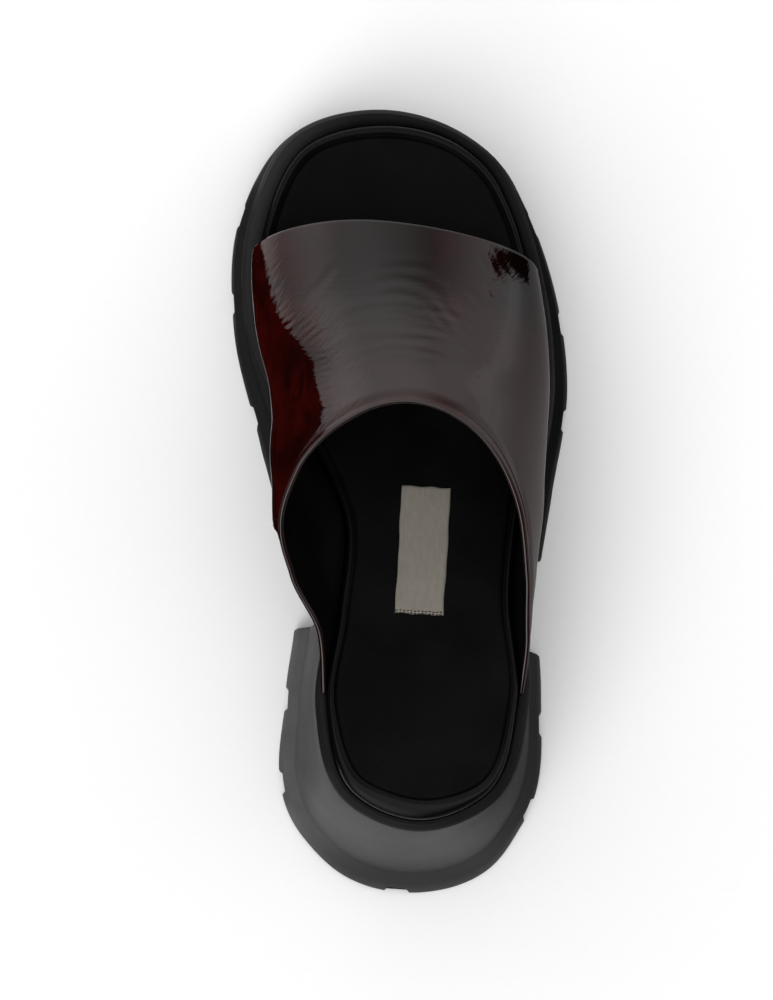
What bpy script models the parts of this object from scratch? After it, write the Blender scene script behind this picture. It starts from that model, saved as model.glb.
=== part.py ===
"""A heeled mule for the right foot: a broad band upper over a footbed on a lugged unit sole.

The frame is +Z up, +Y towards the toe and +X towards the outer side of the foot, with the
origin on the floor under the middle of the plan. Tables are in millimetres, meshes in metres.
"""

import bmesh
import bpy
import numpy as np

MM = 0.001
GAP = 0.3
WELD = 0.00001

# Plan of the shoe, one row a station, clockwise from the toe seen from above.
# x and y: edge of the footbed. rim: welt beyond the footbed. flare: tread beyond the welt.
# piping: width of the footbed's rolled edge. bevel: slope of the welt's side.
STATION_COLUMNS = ("x", "y", "rim", "flare", "piping", "bevel")
STATIONS = (
    (-2.0, 127.4, 6.0, 0.6, 4.0, 1.5),
    (25.6, 120.2, 4.7, 0.8, 3.6, 1.4),
    (35.2, 111.6, 5.0, 1.2, 3.4, 1.4),
    (41.9, 99.0, 4.6, 2.0, 3.2, 1.4),
    (49.5, 67.0, 5.6, 4.3, 3.0, 1.4),
    (50.6, 40.0, 6.2, 5.9, 3.0, 1.2),
    (45.6, 3.0, 4.6, 7.2, 3.0, 1.0),
    (41.8, -32.0, 4.0, 6.6, 2.8, 0.9),
    (43.7, -68.0, 4.4, 5.6, 2.6, 1.4),
    (33.5, -98.5, 4.4, 15.3, 4.2, 2.4),
    (25.6, -103.6, 4.4, 21.4, 5.4, 2.4),
    (11.5, -107.2, 4.4, 24.5, 6.9, 2.4),
    (-3.0, -103.6, 4.4, 24.6, 6.8, 2.4),
    (-11.0, -98.3, 4.4, 21.5, 5.8, 2.4),
    (-19.6, -70.0, 4.4, 11.4, 2.6, 1.4),
    (-15.8, -38.0, 4.0, 12.0, 2.8, 0.9),
    (-13.6, -8.0, 4.0, 19.5, 3.0, 0.9),
    (-27.2, 24.0, 5.5, 12.0, 3.0, 1.0),
    (-41.8, 62.0, 6.4, 5.0, 3.0, 1.4),
    (-41.0, 94.0, 6.4, 4.0, 3.4, 1.4),
    (-28.0, 119.8, 6.6, 1.4, 3.8, 1.5),
)
CURVE_SAMPLES = 60
PLAN_ROWS = 48

# Heights along the foot. seat: top of the welt. spring: lift of the tread under the toe.
HEIGHT_COLUMNS = ("y", "seat", "spring")
HEIGHTS = (
    (-145.0, 64.5, 0.0),
    (-107.0, 63.0, 0.0),
    (-80.0, 60.2, 0.0),
    (-55.0, 55.8, 0.0),
    (-30.0, 49.6, 0.0),
    (-5.0, 42.6, 0.0),
    (20.0, 36.6, 0.0),
    (45.0, 32.6, 0.0),
    (70.0, 31.0, 0.0),
    (90.0, 31.2, 1.0),
    (112.0, 32.6, 3.6),
    (140.0, 36.0, 8.0),
)

# Sections of the last, above the seat and beyond the footbed's edge.
# inner and outer: overhang of the wall, with the height of its widest point.
# crown: place across the foot and height of the ridge.
LAST_COLUMNS = ("y", "inner", "inner_height", "outer", "outer_height", "crown_x", "crown_height")
LAST_SECTIONS = (
    (-70.0, 0.4, 22.0, 0.4, 16.0, 12.0, 88.0),
    (-45.0, 5.4, 26.0, 3.4, 12.0, 10.0, 86.0),
    (-25.0, 16.0, 28.0, 5.6, 10.0, 6.0, 84.0),
    (-8.0, 21.6, 28.0, 5.6, 12.0, 5.0, 80.0),
    (10.0, 15.8, 25.0, 4.2, 14.0, 6.0, 75.0),
    (30.0, 6.3, 20.0, 2.4, 14.0, 7.0, 66.0),
    (45.0, 2.0, 16.0, 1.8, 13.0, 3.0, 57.5),
    (67.0, 0.3, 13.0, 0.9, 12.0, -2.0, 47.0),
    (95.0, 0.2, 11.0, 0.2, 10.0, -5.0, 36.0),
)
INNER_FULLNESS = 2.0
OUTER_FULLNESS = 1.7

# Upper band
VAMP_WALL = 2.4
QUARTER_WALL = 1.6
FRONT_INNER_Y = 80.4
FRONT_OUTER_Y = 71.1
FRONT_BOW = 16.8
COLLAR_PEAK_Y = 32.0
COLLAR_END_Y = -65.0
COLLAR_END_HEIGHT = 0.6
# Rise of the collar over a straight fall, on the inner side.
LIFT_COLUMNS = ("y", "lift")
COLLAR_LIFT = (
    (-65.0, 0.0),
    (-28.0, 1.0),
    (-5.0, 2.5),
    (15.0, 2.8),
    (25.0, 1.8),
    (32.0, 0.0),
)
SEAM_Y = -9.5
SEAM_RAKE = 0.12
SEAM_STEP = 0.25
WALL_LINES = 5
ARCH_LINES = 9
VAMP_SAMPLES = 13
QUARTER_SAMPLES = 6

# Welt, footbed and sock, above the seat
WELT = 5.0
WELT_EDGE = 1.4
FOOTBED_SIDE = 3.4
FOOTBED_CREST = 6.3
FOOTBED_TUCK = 0.8
RECESS_LIP = 4.7
SOCK_EDGE = 4.9
SOCK_TOP = 5.5
SOCK_DISH = 5.0
SOCK_ROUND = 0.6
DISH_INSET = 9.0

# Outsole
LUG = 9.5
LUG_RIM = 2.2
LUG_CHAMFER = 0.9
LUG_SPLAY = 3.0
LUG_SPLAY_SHARE = 0.15
LUG_SPLAY_MOST = 0.7
CREASE_STEP = 0.5
CREASE_RISE = 0.9
WALL_RINGS = (0.0, 0.2, 0.4, 0.6, 0.8, 1.0)
FLARE_POWER = 0.7
BREAST_SKEW = 0.118
# Underside of the waist from the forefoot's back face to the heel breast, along the skewed foot.
ARCH_COLUMNS = ("row", "height")
ARCH = (
    (-50.4, 0.0),
    (-47.6, 11.0),
    (-46.4, 22.0),
    (-44.6, 30.0),
    (-40.6, 34.6),
    (-35.0, 34.8),
    (-28.0, 31.0),
    (-21.5, 24.5),
    (-17.0, 14.0),
    (-14.6, 0.0),
)
# Channels between the lugs, from a station on the inner rim to one on the outer rim.
CHANNELS = ((19.05, 3.2), (18.22, 4.25), (17.3, 5.3), (14.05, 8.25), (13.33, 8.9))
BACK_CHANNEL = 11.26
BACK_CHANNEL_LENGTH = 26.0
CHANNEL_WIDTH = 7.5
CHANNEL_HEIGHT = 5.0
CHANNEL_OVERRUN = 6.0

# Woven label on the sock
LABEL_X = 12.3
LABEL_Y = -17.0
LABEL_WIDTH = 16.5
LABEL_LENGTH = 43.0
LABEL_THICK = 0.6
LABEL_TURN = -0.06
LABEL_ROWS = 8


def clear_scene():
    for item in list(bpy.data.objects):
        bpy.data.objects.remove(item, do_unlink=True)


def column(rows, columns, name):
    return np.array(rows)[:, columns.index(name)]


def smooth(knots, values, where):
    """Curve through the knots that never swings past a row."""
    step = np.diff(knots)
    rate = np.diff(values) / step
    slope = np.zeros(len(knots))
    product = rate[:-1] * rate[1:]
    total = np.where(product > 0, rate[:-1] + rate[1:], 1.0)
    slope[1:-1] = np.where(product > 0, 2 * product / total, 0.0)
    slope[0] = rate[0]
    slope[-1] = rate[-1]
    at = np.clip(where, knots[0], knots[-1])
    cell = np.clip(np.searchsorted(knots, at) - 1, 0, len(step) - 1)
    width = step[cell]
    share = (at - knots[cell]) / width
    start = (1 + 2 * share) * (1 - share) ** 2 * values[cell]
    leave = share * (1 - share) ** 2 * width * slope[cell]
    end = share ** 2 * (3 - 2 * share) * values[cell + 1]
    arrive = share ** 2 * (share - 1) * width * slope[cell + 1]
    return start + leave + end + arrive


def height(name, y):
    knots = column(HEIGHTS, HEIGHT_COLUMNS, "y")
    return smooth(knots, column(HEIGHTS, HEIGHT_COLUMNS, name), y)


def last(name, y):
    knots = column(LAST_SECTIONS, LAST_COLUMNS, "y")
    return smooth(knots, column(LAST_SECTIONS, LAST_COLUMNS, name), y)


def closed_curve(rows):
    """Smooth closed curve through the rows, which are spaced by their chords in plan."""
    here = np.array(rows)
    ahead = np.roll(here, -1, axis=0)
    chord = np.hypot(*(ahead - here)[:, :2].T)[:, None]
    before = np.roll(chord, 1, axis=0)
    rate_in = (here - np.roll(here, 1, axis=0)) / before
    rate_out = (ahead - here) / chord
    slope = (rate_in * chord + rate_out * before) / (chord + before)
    leave = slope * chord
    arrive = np.roll(slope, -1, axis=0) * chord
    pieces = []
    for share in np.arange(CURVE_SAMPLES) / CURVE_SAMPLES:
        start = (1 + 2 * share) * (1 - share) ** 2
        end = share ** 2 * (3 - 2 * share)
        out = share * (1 - share) ** 2
        back = share ** 2 * (share - 1)
        pieces.append(start * here + end * ahead + out * leave + back * arrive)
    return np.stack(pieces, axis=1).reshape(-1, here.shape[1])


def plan_curve():
    """Fine curve of the footbed's edge, an array for each column, and its outward normal."""
    curve = dict(zip(STATION_COLUMNS, closed_curve(STATIONS).T))
    run_x = np.roll(curve["x"], -1) - np.roll(curve["x"], 1)
    run_y = np.roll(curve["y"], -1) - np.roll(curve["y"], 1)
    length = np.hypot(run_x, run_y)
    curve["out_x"] = -run_y / length
    curve["out_y"] = run_x / length
    curve["row"] = curve["y"] + BREAST_SKEW * curve["x"]
    return curve


def offset(edge, distance):
    x = edge["x"] + edge["out_x"] * distance
    y = edge["y"] + edge["out_y"] * distance
    return x, y


def plan_centre(curve):
    x, y = offset(curve, curve["rim"] + curve["flare"])
    return np.array(((x.min() + x.max()) / 2, (y.min() + y.max()) / 2, 0.0))


CURVE = plan_curve()
CENTRE = plan_centre(CURVE)


def split_curve():
    """The curve's places down its outer half and down its inner half, both from the toe."""
    count = len(CURVE["row"])
    toe = int(CURVE["row"].argmax())
    heel = int(CURVE["row"].argmin())
    outer = np.arange(toe, heel + count * (heel < toe) + 1)
    inner = np.arange(toe + count, heel + count * (heel < toe) - 1, -1)
    return outer, inner


def perimeter(extra_rows=()):
    """Ring of places on the curve: toe, outer rows down to the heel, inner rows back up."""
    outer, inner = split_curve()
    count = len(CURVE["row"])
    high = CURVE["row"].max()
    low = CURVE["row"].min()
    turn = np.linspace(0.0, np.pi, PLAN_ROWS + 1)[1:-1]
    rows = high - (high - low) * (1 - np.cos(turn)) / 2
    spacing = 2.5
    for extra in extra_rows:
        rows = rows[np.abs(rows - extra) > spacing]
    rows = np.sort(np.append(rows, extra_rows))[::-1]
    down_outer = np.interp(-rows, -CURVE["row"][outer % count], outer)
    down_inner = np.interp(-rows, -CURVE["row"][inner % count], inner)
    places = np.concatenate(([outer[0]], down_outer, [outer[-1]], down_inner[::-1])) % count
    wrapped = np.arange(count + 1)
    return {name: np.interp(places, wrapped, np.append(fine, fine[0])) for name, fine in CURVE.items()}


def ring(edge, distance, base, rise):
    """Points of a ring beyond the footbed's edge, at a rise over a base height along the foot."""
    x, y = offset(edge, distance)
    return np.stack((x, y, base(y) + rise), axis=1)


def seat(y):
    return height("seat", y)


def cap_faces(first, count, upward):
    """Strips across the ring between its outer and inner rows, with a triangle at each end."""
    half = count // 2
    faces = [(first, first + count - 1, first + 1)]
    for row in range(1, half - 1):
        faces.append((first + row, first + count - row, first + count - row - 1, first + row + 1))
    faces.append((first + half - 1, first + half + 1, first + half))
    if upward:
        return faces
    return [tuple(reversed(face)) for face in faces]


def ring_solid(name, rings, finish):
    """Closed solid skinned over rings that run from its top cap out and down to its bottom cap."""
    count = len(rings[0])
    faces = cap_faces(0, count, True)
    for level in range(len(rings) - 1):
        above = level * count
        below = above + count
        for place in range(count):
            following = (place + 1) % count
            faces.append((above + place, above + following, below + following, below + place))
    faces += cap_faces((len(rings) - 1) * count, count, False)
    return solid(name, np.concatenate(rings), faces, finish)


def solid(name, points, faces, finish):
    mesh = bpy.data.meshes.new(name)
    mesh.from_pydata(((points - CENTRE) * MM).tolist(), [], faces)
    work = bmesh.new()
    work.from_mesh(mesh)
    bmesh.ops.remove_doubles(work, verts=work.verts, dist=WELD)
    bmesh.ops.dissolve_degenerate(work, edges=work.edges, dist=WELD)
    bmesh.ops.recalc_face_normals(work, faces=work.faces)
    work.to_mesh(mesh)
    work.free()
    mesh.shade_smooth()
    mesh.materials.append(finish)
    made = bpy.data.objects.new(name, mesh)
    bpy.context.collection.objects.link(made)
    return made


def finish(name, colour, roughness):
    made = bpy.data.materials.new(name)
    made.use_nodes = True
    shader = made.node_tree.nodes["Principled BSDF"]
    shader.inputs["Base Color"].default_value = (*colour, 1.0)
    shader.inputs["Roughness"].default_value = roughness
    shader.inputs["Metallic"].default_value = 0.0
    return made


def patent_finish():
    return finish("patent_leather", (0.085, 0.006, 0.009), 0.12)


def rubber_finish():
    return finish("sole_rubber", (0.052, 0.052, 0.055), 0.62)


def welt_finish():
    return finish("welt_rubber", (0.014, 0.014, 0.015), 0.42)


def footbed_finish():
    return finish("footbed_leather", (0.011, 0.011, 0.012), 0.3)


def sock_finish():
    return finish("sock_leather", (0.014, 0.014, 0.016), 0.4)


def label_finish():
    return finish("label_weave", (0.72, 0.68, 0.6), 0.85)


def spring(y):
    return height("spring", y)


def arch(row):
    return np.interp(row, column(ARCH, ARCH_COLUMNS, "row"), column(ARCH, ARCH_COLUMNS, "height"))


def outsole_rings(edge):
    """Rings down the sole's side: a hollow flare, a step at the crease and the splayed lugs."""
    flare = edge["flare"]
    splay = np.minimum(LUG_SPLAY + LUG_SPLAY_SHARE * flare, LUG_SPLAY_MOST * flare)
    step = np.minimum(CREASE_STEP, flare - splay)
    hollow = flare - splay - step
    low = spring(offset(edge, edge["rim"] + flare)[1])
    top = seat(edge["y"]) - WELT - GAP
    crease = low + LUG + CREASE_RISE
    ground = np.maximum(low, arch(edge["row"]))
    levels = [(top + (crease - top) * share, None) for share in WALL_RINGS]
    levels.append((low + LUG, hollow + step))
    levels.append((low + LUG_RIM, flare))
    levels.append((low, flare - np.minimum(LUG_CHAMFER, LUG_SPLAY_MOST * flare)))
    rings = []
    for z, spread in levels:
        held = np.maximum(z, ground)
        down = np.clip((top - held) / (top - crease), 0.0, 1.0)
        walled = hollow * down ** FLARE_POWER
        if spread is None:
            spread = walled
        spread = np.where(z < ground, walled, spread)
        x, y = offset(edge, edge["rim"] + spread)
        rings.append(np.stack((x, y, held), axis=1))
    return rings


def rim_point(station):
    """Point of the tread's rim at a station, which may lie between two rows of the table."""
    place = int(round(station * CURVE_SAMPLES)) % len(CURVE["row"])
    x, y = offset(CURVE, CURVE["rim"] + CURVE["flare"])
    out = np.array((CURVE["out_x"][place], CURVE["out_y"][place]))
    return np.array((x[place], y[place])), out


def channel_cutter(name, start, end):
    """Box over the floor between two places in plan, a channel wide and a channel high."""
    run = (end - start) / np.linalg.norm(end - start)
    side = np.array((-run[1], run[0])) * CHANNEL_WIDTH / 2
    roof = CHANNEL_HEIGHT
    points = []
    for end_place in (start, end):
        lift = float(spring(end_place[1]))
        for corner in (end_place - side, end_place + side):
            points.append((*corner, -CHANNEL_HEIGHT))
            points.append((*corner, lift + roof))
    faces = [(0, 1, 3, 2), (4, 6, 7, 5), (0, 4, 5, 1), (2, 3, 7, 6), (0, 2, 6, 4), (1, 5, 7, 3)]
    cutter = solid(name, np.array(points), faces, rubber_finish())
    cutter.hide_render = True
    cutter.display_type = "WIRE"
    return cutter


def channel_ends():
    """Start and end in plan of every channel between the lugs."""
    for inner, outer in CHANNELS:
        start = rim_point(inner)[0]
        end = rim_point(outer)[0]
        run = (end - start) / np.linalg.norm(end - start) * CHANNEL_OVERRUN
        yield start - run, end + run
    start, out = rim_point(BACK_CHANNEL)
    yield start + out * CHANNEL_OVERRUN, start - out * BACK_CHANNEL_LENGTH


def outsole():
    edge = perimeter(column(ARCH, ARCH_COLUMNS, "row"))
    made = ring_solid("outsole", outsole_rings(edge), rubber_finish())
    for number, (start, end) in enumerate(channel_ends()):
        cut = made.modifiers.new("channel", "BOOLEAN")
        cut.operation = "DIFFERENCE"
        cut.solver = "EXACT"
        cut.object = channel_cutter("channel_cutter_" + str(number), start, end)
    return made


def welt():
    edge = perimeter()
    rim = edge["rim"]
    rings = [
        ring(edge, rim - edge["bevel"], seat, 0.0),
        ring(edge, rim - edge["bevel"] / 3, seat, -WELT_EDGE),
        ring(edge, rim, seat, -WELT + GAP),
        ring(edge, rim - GAP, seat, -WELT),
    ]
    return ring_solid("welt", rings, welt_finish())


def footbed():
    """Padded board with a rolled edge and a recess for the sock."""
    edge = perimeter()
    half = edge["piping"] / 2
    rings = [
        ring(edge, -2 * half, seat, FOOTBED_SIDE),
        ring(edge, -2 * half, seat, RECESS_LIP),
    ]
    for turn in np.radians((135.0, 90.0, 45.0, 0.0)):
        rise = FOOTBED_SIDE + (FOOTBED_CREST - FOOTBED_SIDE) * np.sin(turn)
        rings.append(ring(edge, half * (np.cos(turn) - 1), seat, rise))
    rings.append(ring(edge, -FOOTBED_TUCK, seat, GAP))
    return ring_solid("footbed", rings, footbed_finish())


def sock():
    edge = perimeter()
    border = -edge["piping"] - GAP
    rings = [
        ring(edge, border - DISH_INSET, seat, SOCK_DISH),
        ring(edge, border - SOCK_ROUND, seat, SOCK_TOP),
        ring(edge, border, seat, SOCK_EDGE),
        ring(edge, border, seat, FOOTBED_SIDE + GAP),
    ]
    return ring_solid("sock", rings, sock_finish())


def footbed_sides(y):
    """Inner and outer edge of the footbed where the foot's length is y."""
    outer, inner = split_curve()
    count = len(CURVE["y"])
    sides = []
    for half in (inner, outer):
        along = CURVE["y"][half % count]
        keep = np.arange(int(along.argmax()), int(along.argmin()) + 1)
        sides.append(np.interp(-y, -along[keep], CURVE["x"][half % count][keep]))
    return sides


def last_point(girth, y):
    """Point on the last: girth 0 is its inner base, 0.5 the crown and 1 its outer base."""
    inner, outer = footbed_sides(y)
    on_inner = girth <= 0.5
    base_x = np.where(on_inner, inner - GAP, outer + GAP)
    bulge_x = np.where(on_inner, base_x - last("inner", y), base_x + last("outer", y))
    bulge_z = np.where(on_inner, last("inner_height", y), last("outer_height", y))
    power = np.where(on_inner, 2 / INNER_FULLNESS, 2 / OUTER_FULLNESS)
    climb = np.where(on_inner, 2 * girth, 2 - 2 * girth)
    wall_share = WALL_LINES / (WALL_LINES + ARCH_LINES)
    wall = np.clip(climb / wall_share, 0.0, 1.0)
    turn = np.clip((climb - wall_share) / (1 - wall_share), 0.0, 1.0) * np.pi / 2
    crown_x = last("crown_x", y)
    wall_x = base_x + (bulge_x - base_x) * (1 - (1 - wall) ** 2)
    wall_z = GAP + (bulge_z - GAP) * wall
    arch_x = crown_x + (bulge_x - crown_x) * np.cos(turn) ** power
    arch_z = bulge_z + (last("crown_height", y) - bulge_z) * np.sin(turn) ** power
    low = climb < wall_share
    x = np.where(low, wall_x, arch_x)
    z = np.where(low, wall_z, arch_z)
    return np.stack((x, y + 0 * x, seat(y) + z), axis=-1)


def last_normal(girth, y):
    """Outward direction of the last, level along its base."""
    turn = 0.002
    run = 0.2
    across = last_point(np.clip(girth + turn, 0, 1), y) - last_point(np.clip(girth - turn, 0, 1), y)
    along = last_point(girth, y + run) - last_point(girth, y - run)
    out = np.cross(across, along)
    out[..., 2] = np.where((girth <= 0.0) | (girth >= 1.0), 0.0, out[..., 2])
    return out / np.linalg.norm(out, axis=-1, keepdims=True)


def front_edge(girth):
    return FRONT_INNER_Y + (FRONT_OUTER_Y - FRONT_INNER_Y) * girth + FRONT_BOW * np.sin(np.pi * girth) ** 2


def collar_edge(girth):
    """Where each line of the band meets the collar, which falls from the crown to the back."""
    knots = column(COLLAR_LIFT, LIFT_COLUMNS, "y")
    rises = column(COLLAR_LIFT, LIFT_COLUMNS, "lift")
    peak = last_point(np.array(0.5), np.array(COLLAR_PEAK_Y))[2]
    end = float(seat(np.array(COLLAR_END_Y))) + COLLAR_END_HEIGHT
    near = np.full(girth.shape, COLLAR_PEAK_Y)
    far = np.full(girth.shape, COLLAR_END_Y)
    halvings = 40
    for _ in range(halvings):
        middle = (near + far) / 2
        share = (middle - COLLAR_END_Y) / (COLLAR_PEAK_Y - COLLAR_END_Y)
        lift = np.where(girth < 0.5, smooth(knots, rises, middle), 0.0)
        over = last_point(girth, middle)[..., 2] > end + (peak - end) * share + lift
        far = np.where(over, middle, far)
        near = np.where(over, near, middle)
    return far


def band_rows(girth):
    """Places along each line of the band, in front of the inner seam and behind it."""
    front = front_edge(girth)
    back = collar_edge(girth)
    shortest = 1.5
    seam = np.maximum(SEAM_Y - SEAM_RAKE * girth, back + shortest)
    vamp = np.linspace(0.0, 1.0, VAMP_SAMPLES)[:, None]
    quarter = np.linspace(0.0, 1.0, QUARTER_SAMPLES)[:, None]
    ahead = front + (seam + SEAM_STEP - front) * vamp
    behind = seam - SEAM_STEP + (back - seam + SEAM_STEP) * quarter
    crossed = (girth < 0.5) & (back < SEAM_Y - SEAM_RAKE * girth - shortest)
    wall_ahead = np.full(ahead.shape, VAMP_WALL)
    wall_behind = np.where(crossed, QUARTER_WALL, VAMP_WALL) + 0 * behind
    return np.concatenate((ahead, behind)), np.concatenate((wall_ahead, wall_behind))


def upper():
    """Hollow band: the last's own surface inside, the same surface a wall's thickness out."""
    lines = 2 * (WALL_LINES + ARCH_LINES) + 1
    girth = np.linspace(0.0, 1.0, lines)
    along, wall = band_rows(girth)
    around = girth + 0 * along
    inside = last_point(around, along)
    outside = inside + last_normal(around, along) * wall[..., None]
    for base in (0, -1):
        outside[:, base, 2] = seat(outside[:, base, 1]) + GAP
    rows = len(along)
    points = np.concatenate((outside.reshape(-1, 3), inside.reshape(-1, 3)))
    shift = rows * lines
    faces = []
    for row in range(rows - 1):
        for line in range(lines - 1):
            here = row * lines + line
            face = (here, here + 1, here + lines + 1, here + lines)
            faces.append(face)
            faces.append(tuple(shift + corner for corner in reversed(face)))
    border = [line for line in range(lines)]
    border += [row * lines + lines - 1 for row in range(1, rows)]
    border += [(rows - 1) * lines + line for line in range(lines - 2, -1, -1)]
    border += [row * lines for row in range(rows - 2, 0, -1)]
    for here, following in zip(border, border[1:] + border[:1]):
        faces.append((following, here, here + shift, following + shift))
    return solid("upper", points, faces, patent_finish())


def label():
    """Plain woven tab laid along the sock."""
    cosine = np.cos(LABEL_TURN)
    sine = np.sin(LABEL_TURN)
    turn = np.array(((cosine, -sine), (sine, cosine)))
    points = []
    for rise in (SOCK_DISH + GAP, SOCK_DISH + GAP + LABEL_THICK):
        for along in np.linspace(-LABEL_LENGTH / 2, LABEL_LENGTH / 2, LABEL_ROWS):
            for across in (-LABEL_WIDTH / 2, LABEL_WIDTH / 2):
                x, y = turn @ (across, along) + (LABEL_X, LABEL_Y)
                points.append((x, y, float(seat(np.array(y))) + rise))
    shift = 2 * LABEL_ROWS
    faces = []
    for row in range(LABEL_ROWS - 1):
        a = 2 * row
        faces.append((shift + a, shift + a + 1, shift + a + 3, shift + a + 2))
        faces.append((a, a + 2, a + 3, a + 1))
        faces.append((a + 1, a + 3, shift + a + 3, shift + a + 1))
        faces.append((a, shift + a, shift + a + 2, a + 2))
    last_row = shift - 2
    faces.append((0, 1, shift + 1, shift))
    faces.append((last_row, last_row + shift, last_row + shift + 1, last_row + 1))
    return solid("label", np.array(points), faces, label_finish())


clear_scene()
outsole()
welt()
footbed()
sock()
upper()
label()
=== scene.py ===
import bmesh
import bpy
import numpy as np
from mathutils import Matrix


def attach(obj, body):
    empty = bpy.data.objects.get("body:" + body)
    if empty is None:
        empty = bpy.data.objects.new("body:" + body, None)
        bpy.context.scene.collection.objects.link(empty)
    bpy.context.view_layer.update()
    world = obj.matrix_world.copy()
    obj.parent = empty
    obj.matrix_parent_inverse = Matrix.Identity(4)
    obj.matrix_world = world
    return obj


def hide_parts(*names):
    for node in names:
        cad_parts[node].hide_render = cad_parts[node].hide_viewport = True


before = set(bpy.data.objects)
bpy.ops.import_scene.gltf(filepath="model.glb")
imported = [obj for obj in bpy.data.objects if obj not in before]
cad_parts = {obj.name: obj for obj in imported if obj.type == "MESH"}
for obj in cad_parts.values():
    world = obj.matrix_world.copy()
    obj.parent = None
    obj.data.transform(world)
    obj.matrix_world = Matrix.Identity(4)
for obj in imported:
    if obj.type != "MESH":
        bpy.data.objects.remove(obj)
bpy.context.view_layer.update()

MM = 0.001
GAP = 0.3
WELD = 0.000001
UP = (0.0, 0.0, 1.0)


def table(columns, rows):
    """The columns of a table by their names."""
    return dict(zip(columns, np.array(rows).T))


# Plan of the shoe, one row a station, clockwise from the toe seen from above, in millimetres.
STATION_COLUMNS = ("x", "y", "rim", "flare", "piping", "bevel")
STATIONS = (
    (-2.0, 127.4, 6.0, 0.6, 4.0, 1.5),
    (25.6, 120.2, 4.7, 0.8, 3.6, 1.4),
    (35.2, 111.6, 5.0, 1.2, 3.4, 1.4),
    (41.9, 99.0, 4.6, 2.0, 3.2, 1.4),
    (49.5, 67.0, 5.6, 4.3, 3.0, 1.4),
    (50.6, 40.0, 6.2, 5.9, 3.0, 1.2),
    (45.6, 3.0, 4.6, 7.2, 3.0, 1.0),
    (41.8, -32.0, 4.0, 6.6, 2.8, 0.9),
    (43.7, -68.0, 4.4, 5.6, 2.6, 1.4),
    (33.5, -98.5, 4.4, 15.3, 4.2, 2.4),
    (25.6, -103.6, 4.4, 21.4, 5.4, 2.4),
    (11.5, -107.2, 4.4, 24.5, 6.9, 2.4),
    (-3.0, -103.6, 4.4, 24.6, 6.8, 2.4),
    (-11.0, -98.3, 4.4, 21.5, 5.8, 2.4),
    (-19.6, -70.0, 4.4, 11.4, 2.6, 1.4),
    (-15.8, -38.0, 4.0, 12.0, 2.8, 0.9),
    (-13.6, -8.0, 4.0, 19.5, 3.0, 0.9),
    (-27.2, 24.0, 5.5, 12.0, 3.0, 1.0),
    (-41.8, 62.0, 6.4, 5.0, 3.0, 1.4),
    (-41.0, 94.0, 6.4, 4.0, 3.4, 1.4),
    (-28.0, 119.8, 6.6, 1.4, 3.8, 1.5),
)
CURVE_SAMPLES = 60

# Heights along the foot: top of the welt, and lift of the tread under the toe.
HEIGHTS = table(("y", "seat", "spring"), (
    (-145.0, 64.5, 0.0),
    (-107.0, 63.0, 0.0),
    (-80.0, 60.2, 0.0),
    (-55.0, 55.8, 0.0),
    (-30.0, 49.6, 0.0),
    (-5.0, 42.6, 0.0),
    (20.0, 36.6, 0.0),
    (45.0, 32.6, 0.0),
    (70.0, 31.0, 0.0),
    (90.0, 31.2, 1.0),
    (112.0, 32.6, 3.6),
    (140.0, 36.0, 8.0),
))

# Sections of the last, above the seat and beyond the footbed's edge.
LAST_COLUMNS = ("y", "inner", "inner_height", "outer", "outer_height", "crown_x", "crown_height")
LAST = table(LAST_COLUMNS, (
    (-70.0, 0.4, 22.0, 0.4, 16.0, 12.0, 88.0),
    (-45.0, 5.4, 26.0, 3.4, 12.0, 10.0, 86.0),
    (-25.0, 16.0, 28.0, 5.6, 10.0, 6.0, 84.0),
    (-8.0, 21.6, 28.0, 5.6, 12.0, 5.0, 80.0),
    (10.0, 15.8, 25.0, 4.2, 14.0, 6.0, 75.0),
    (30.0, 6.3, 20.0, 2.4, 14.0, 7.0, 66.0),
    (45.0, 2.0, 16.0, 1.8, 13.0, 3.0, 57.5),
    (67.0, 0.3, 13.0, 0.9, 12.0, -2.0, 47.0),
    (95.0, 0.2, 11.0, 0.2, 10.0, -5.0, 36.0),
))
INNER_FULLNESS = 2.0
OUTER_FULLNESS = 1.7
WALL_SHARE = 5 / 14

# Upper band
VAMP_WALL = 2.4
QUARTER_WALL = 1.6
FRONT_INNER_Y = 80.4
FRONT_OUTER_Y = 71.1
FRONT_BOW = 16.8
COLLAR_PEAK_Y = 32.0
COLLAR_END_Y = -65.0
COLLAR_END_HEIGHT = 0.6
# Rise of the collar over a straight fall, on the inner side.
COLLAR_LIFT = table(("y", "lift"), (
    (-65.0, 0.0),
    (-28.0, 1.0),
    (-5.0, 2.5),
    (15.0, 2.8),
    (25.0, 1.8),
    (32.0, 0.0),
))
SEAM_Y = -9.5
SEAM_RAKE = 0.12
# Step of the lap seam from one wall to the other, and how far ahead of the collar it ends.
SEAM_LAP = (-0.15, 0.35)
SEAM_CLEAR = 1.5
UPPER_LINES = 201
VAMP_ROWS = 130
COLLAR_ROWS = 60
COLLAR_STRIP = 8.0
COLLAR_CROWDING = 1.8
COLLAR_SAMPLES = 1201
EDGE_ROWS = 8
COLLAR_WALL = 1.7
SKIVE = 5.0
FOLD_WIDTH = 1.2
FOLD_RISE = 0.2
FOLD_GROOVE = 0.2
GROOVE_WIDTH = 0.35
FOLD_OVERLAP = 0.4
# How far the rows that round an edge over stand out, at the collar and at the front.
COLLAR_FULLNESS = 0.8
FRONT_FULLNESS = 0.6
# No crease lies behind this place along the foot.
CREASES_END_Y = -10.0
CREASE_SAMPLES = 33
CREASE_RIDGE = 0.45
# Creases fade out towards the collar between these distances.
CREASE_FADE = (2.0, 5.0)

# Welt, footbed and sock, above the seat
WELT = 5.0
WELT_LIP = 0.6
WELT_GROOVE = 1.2
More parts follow.
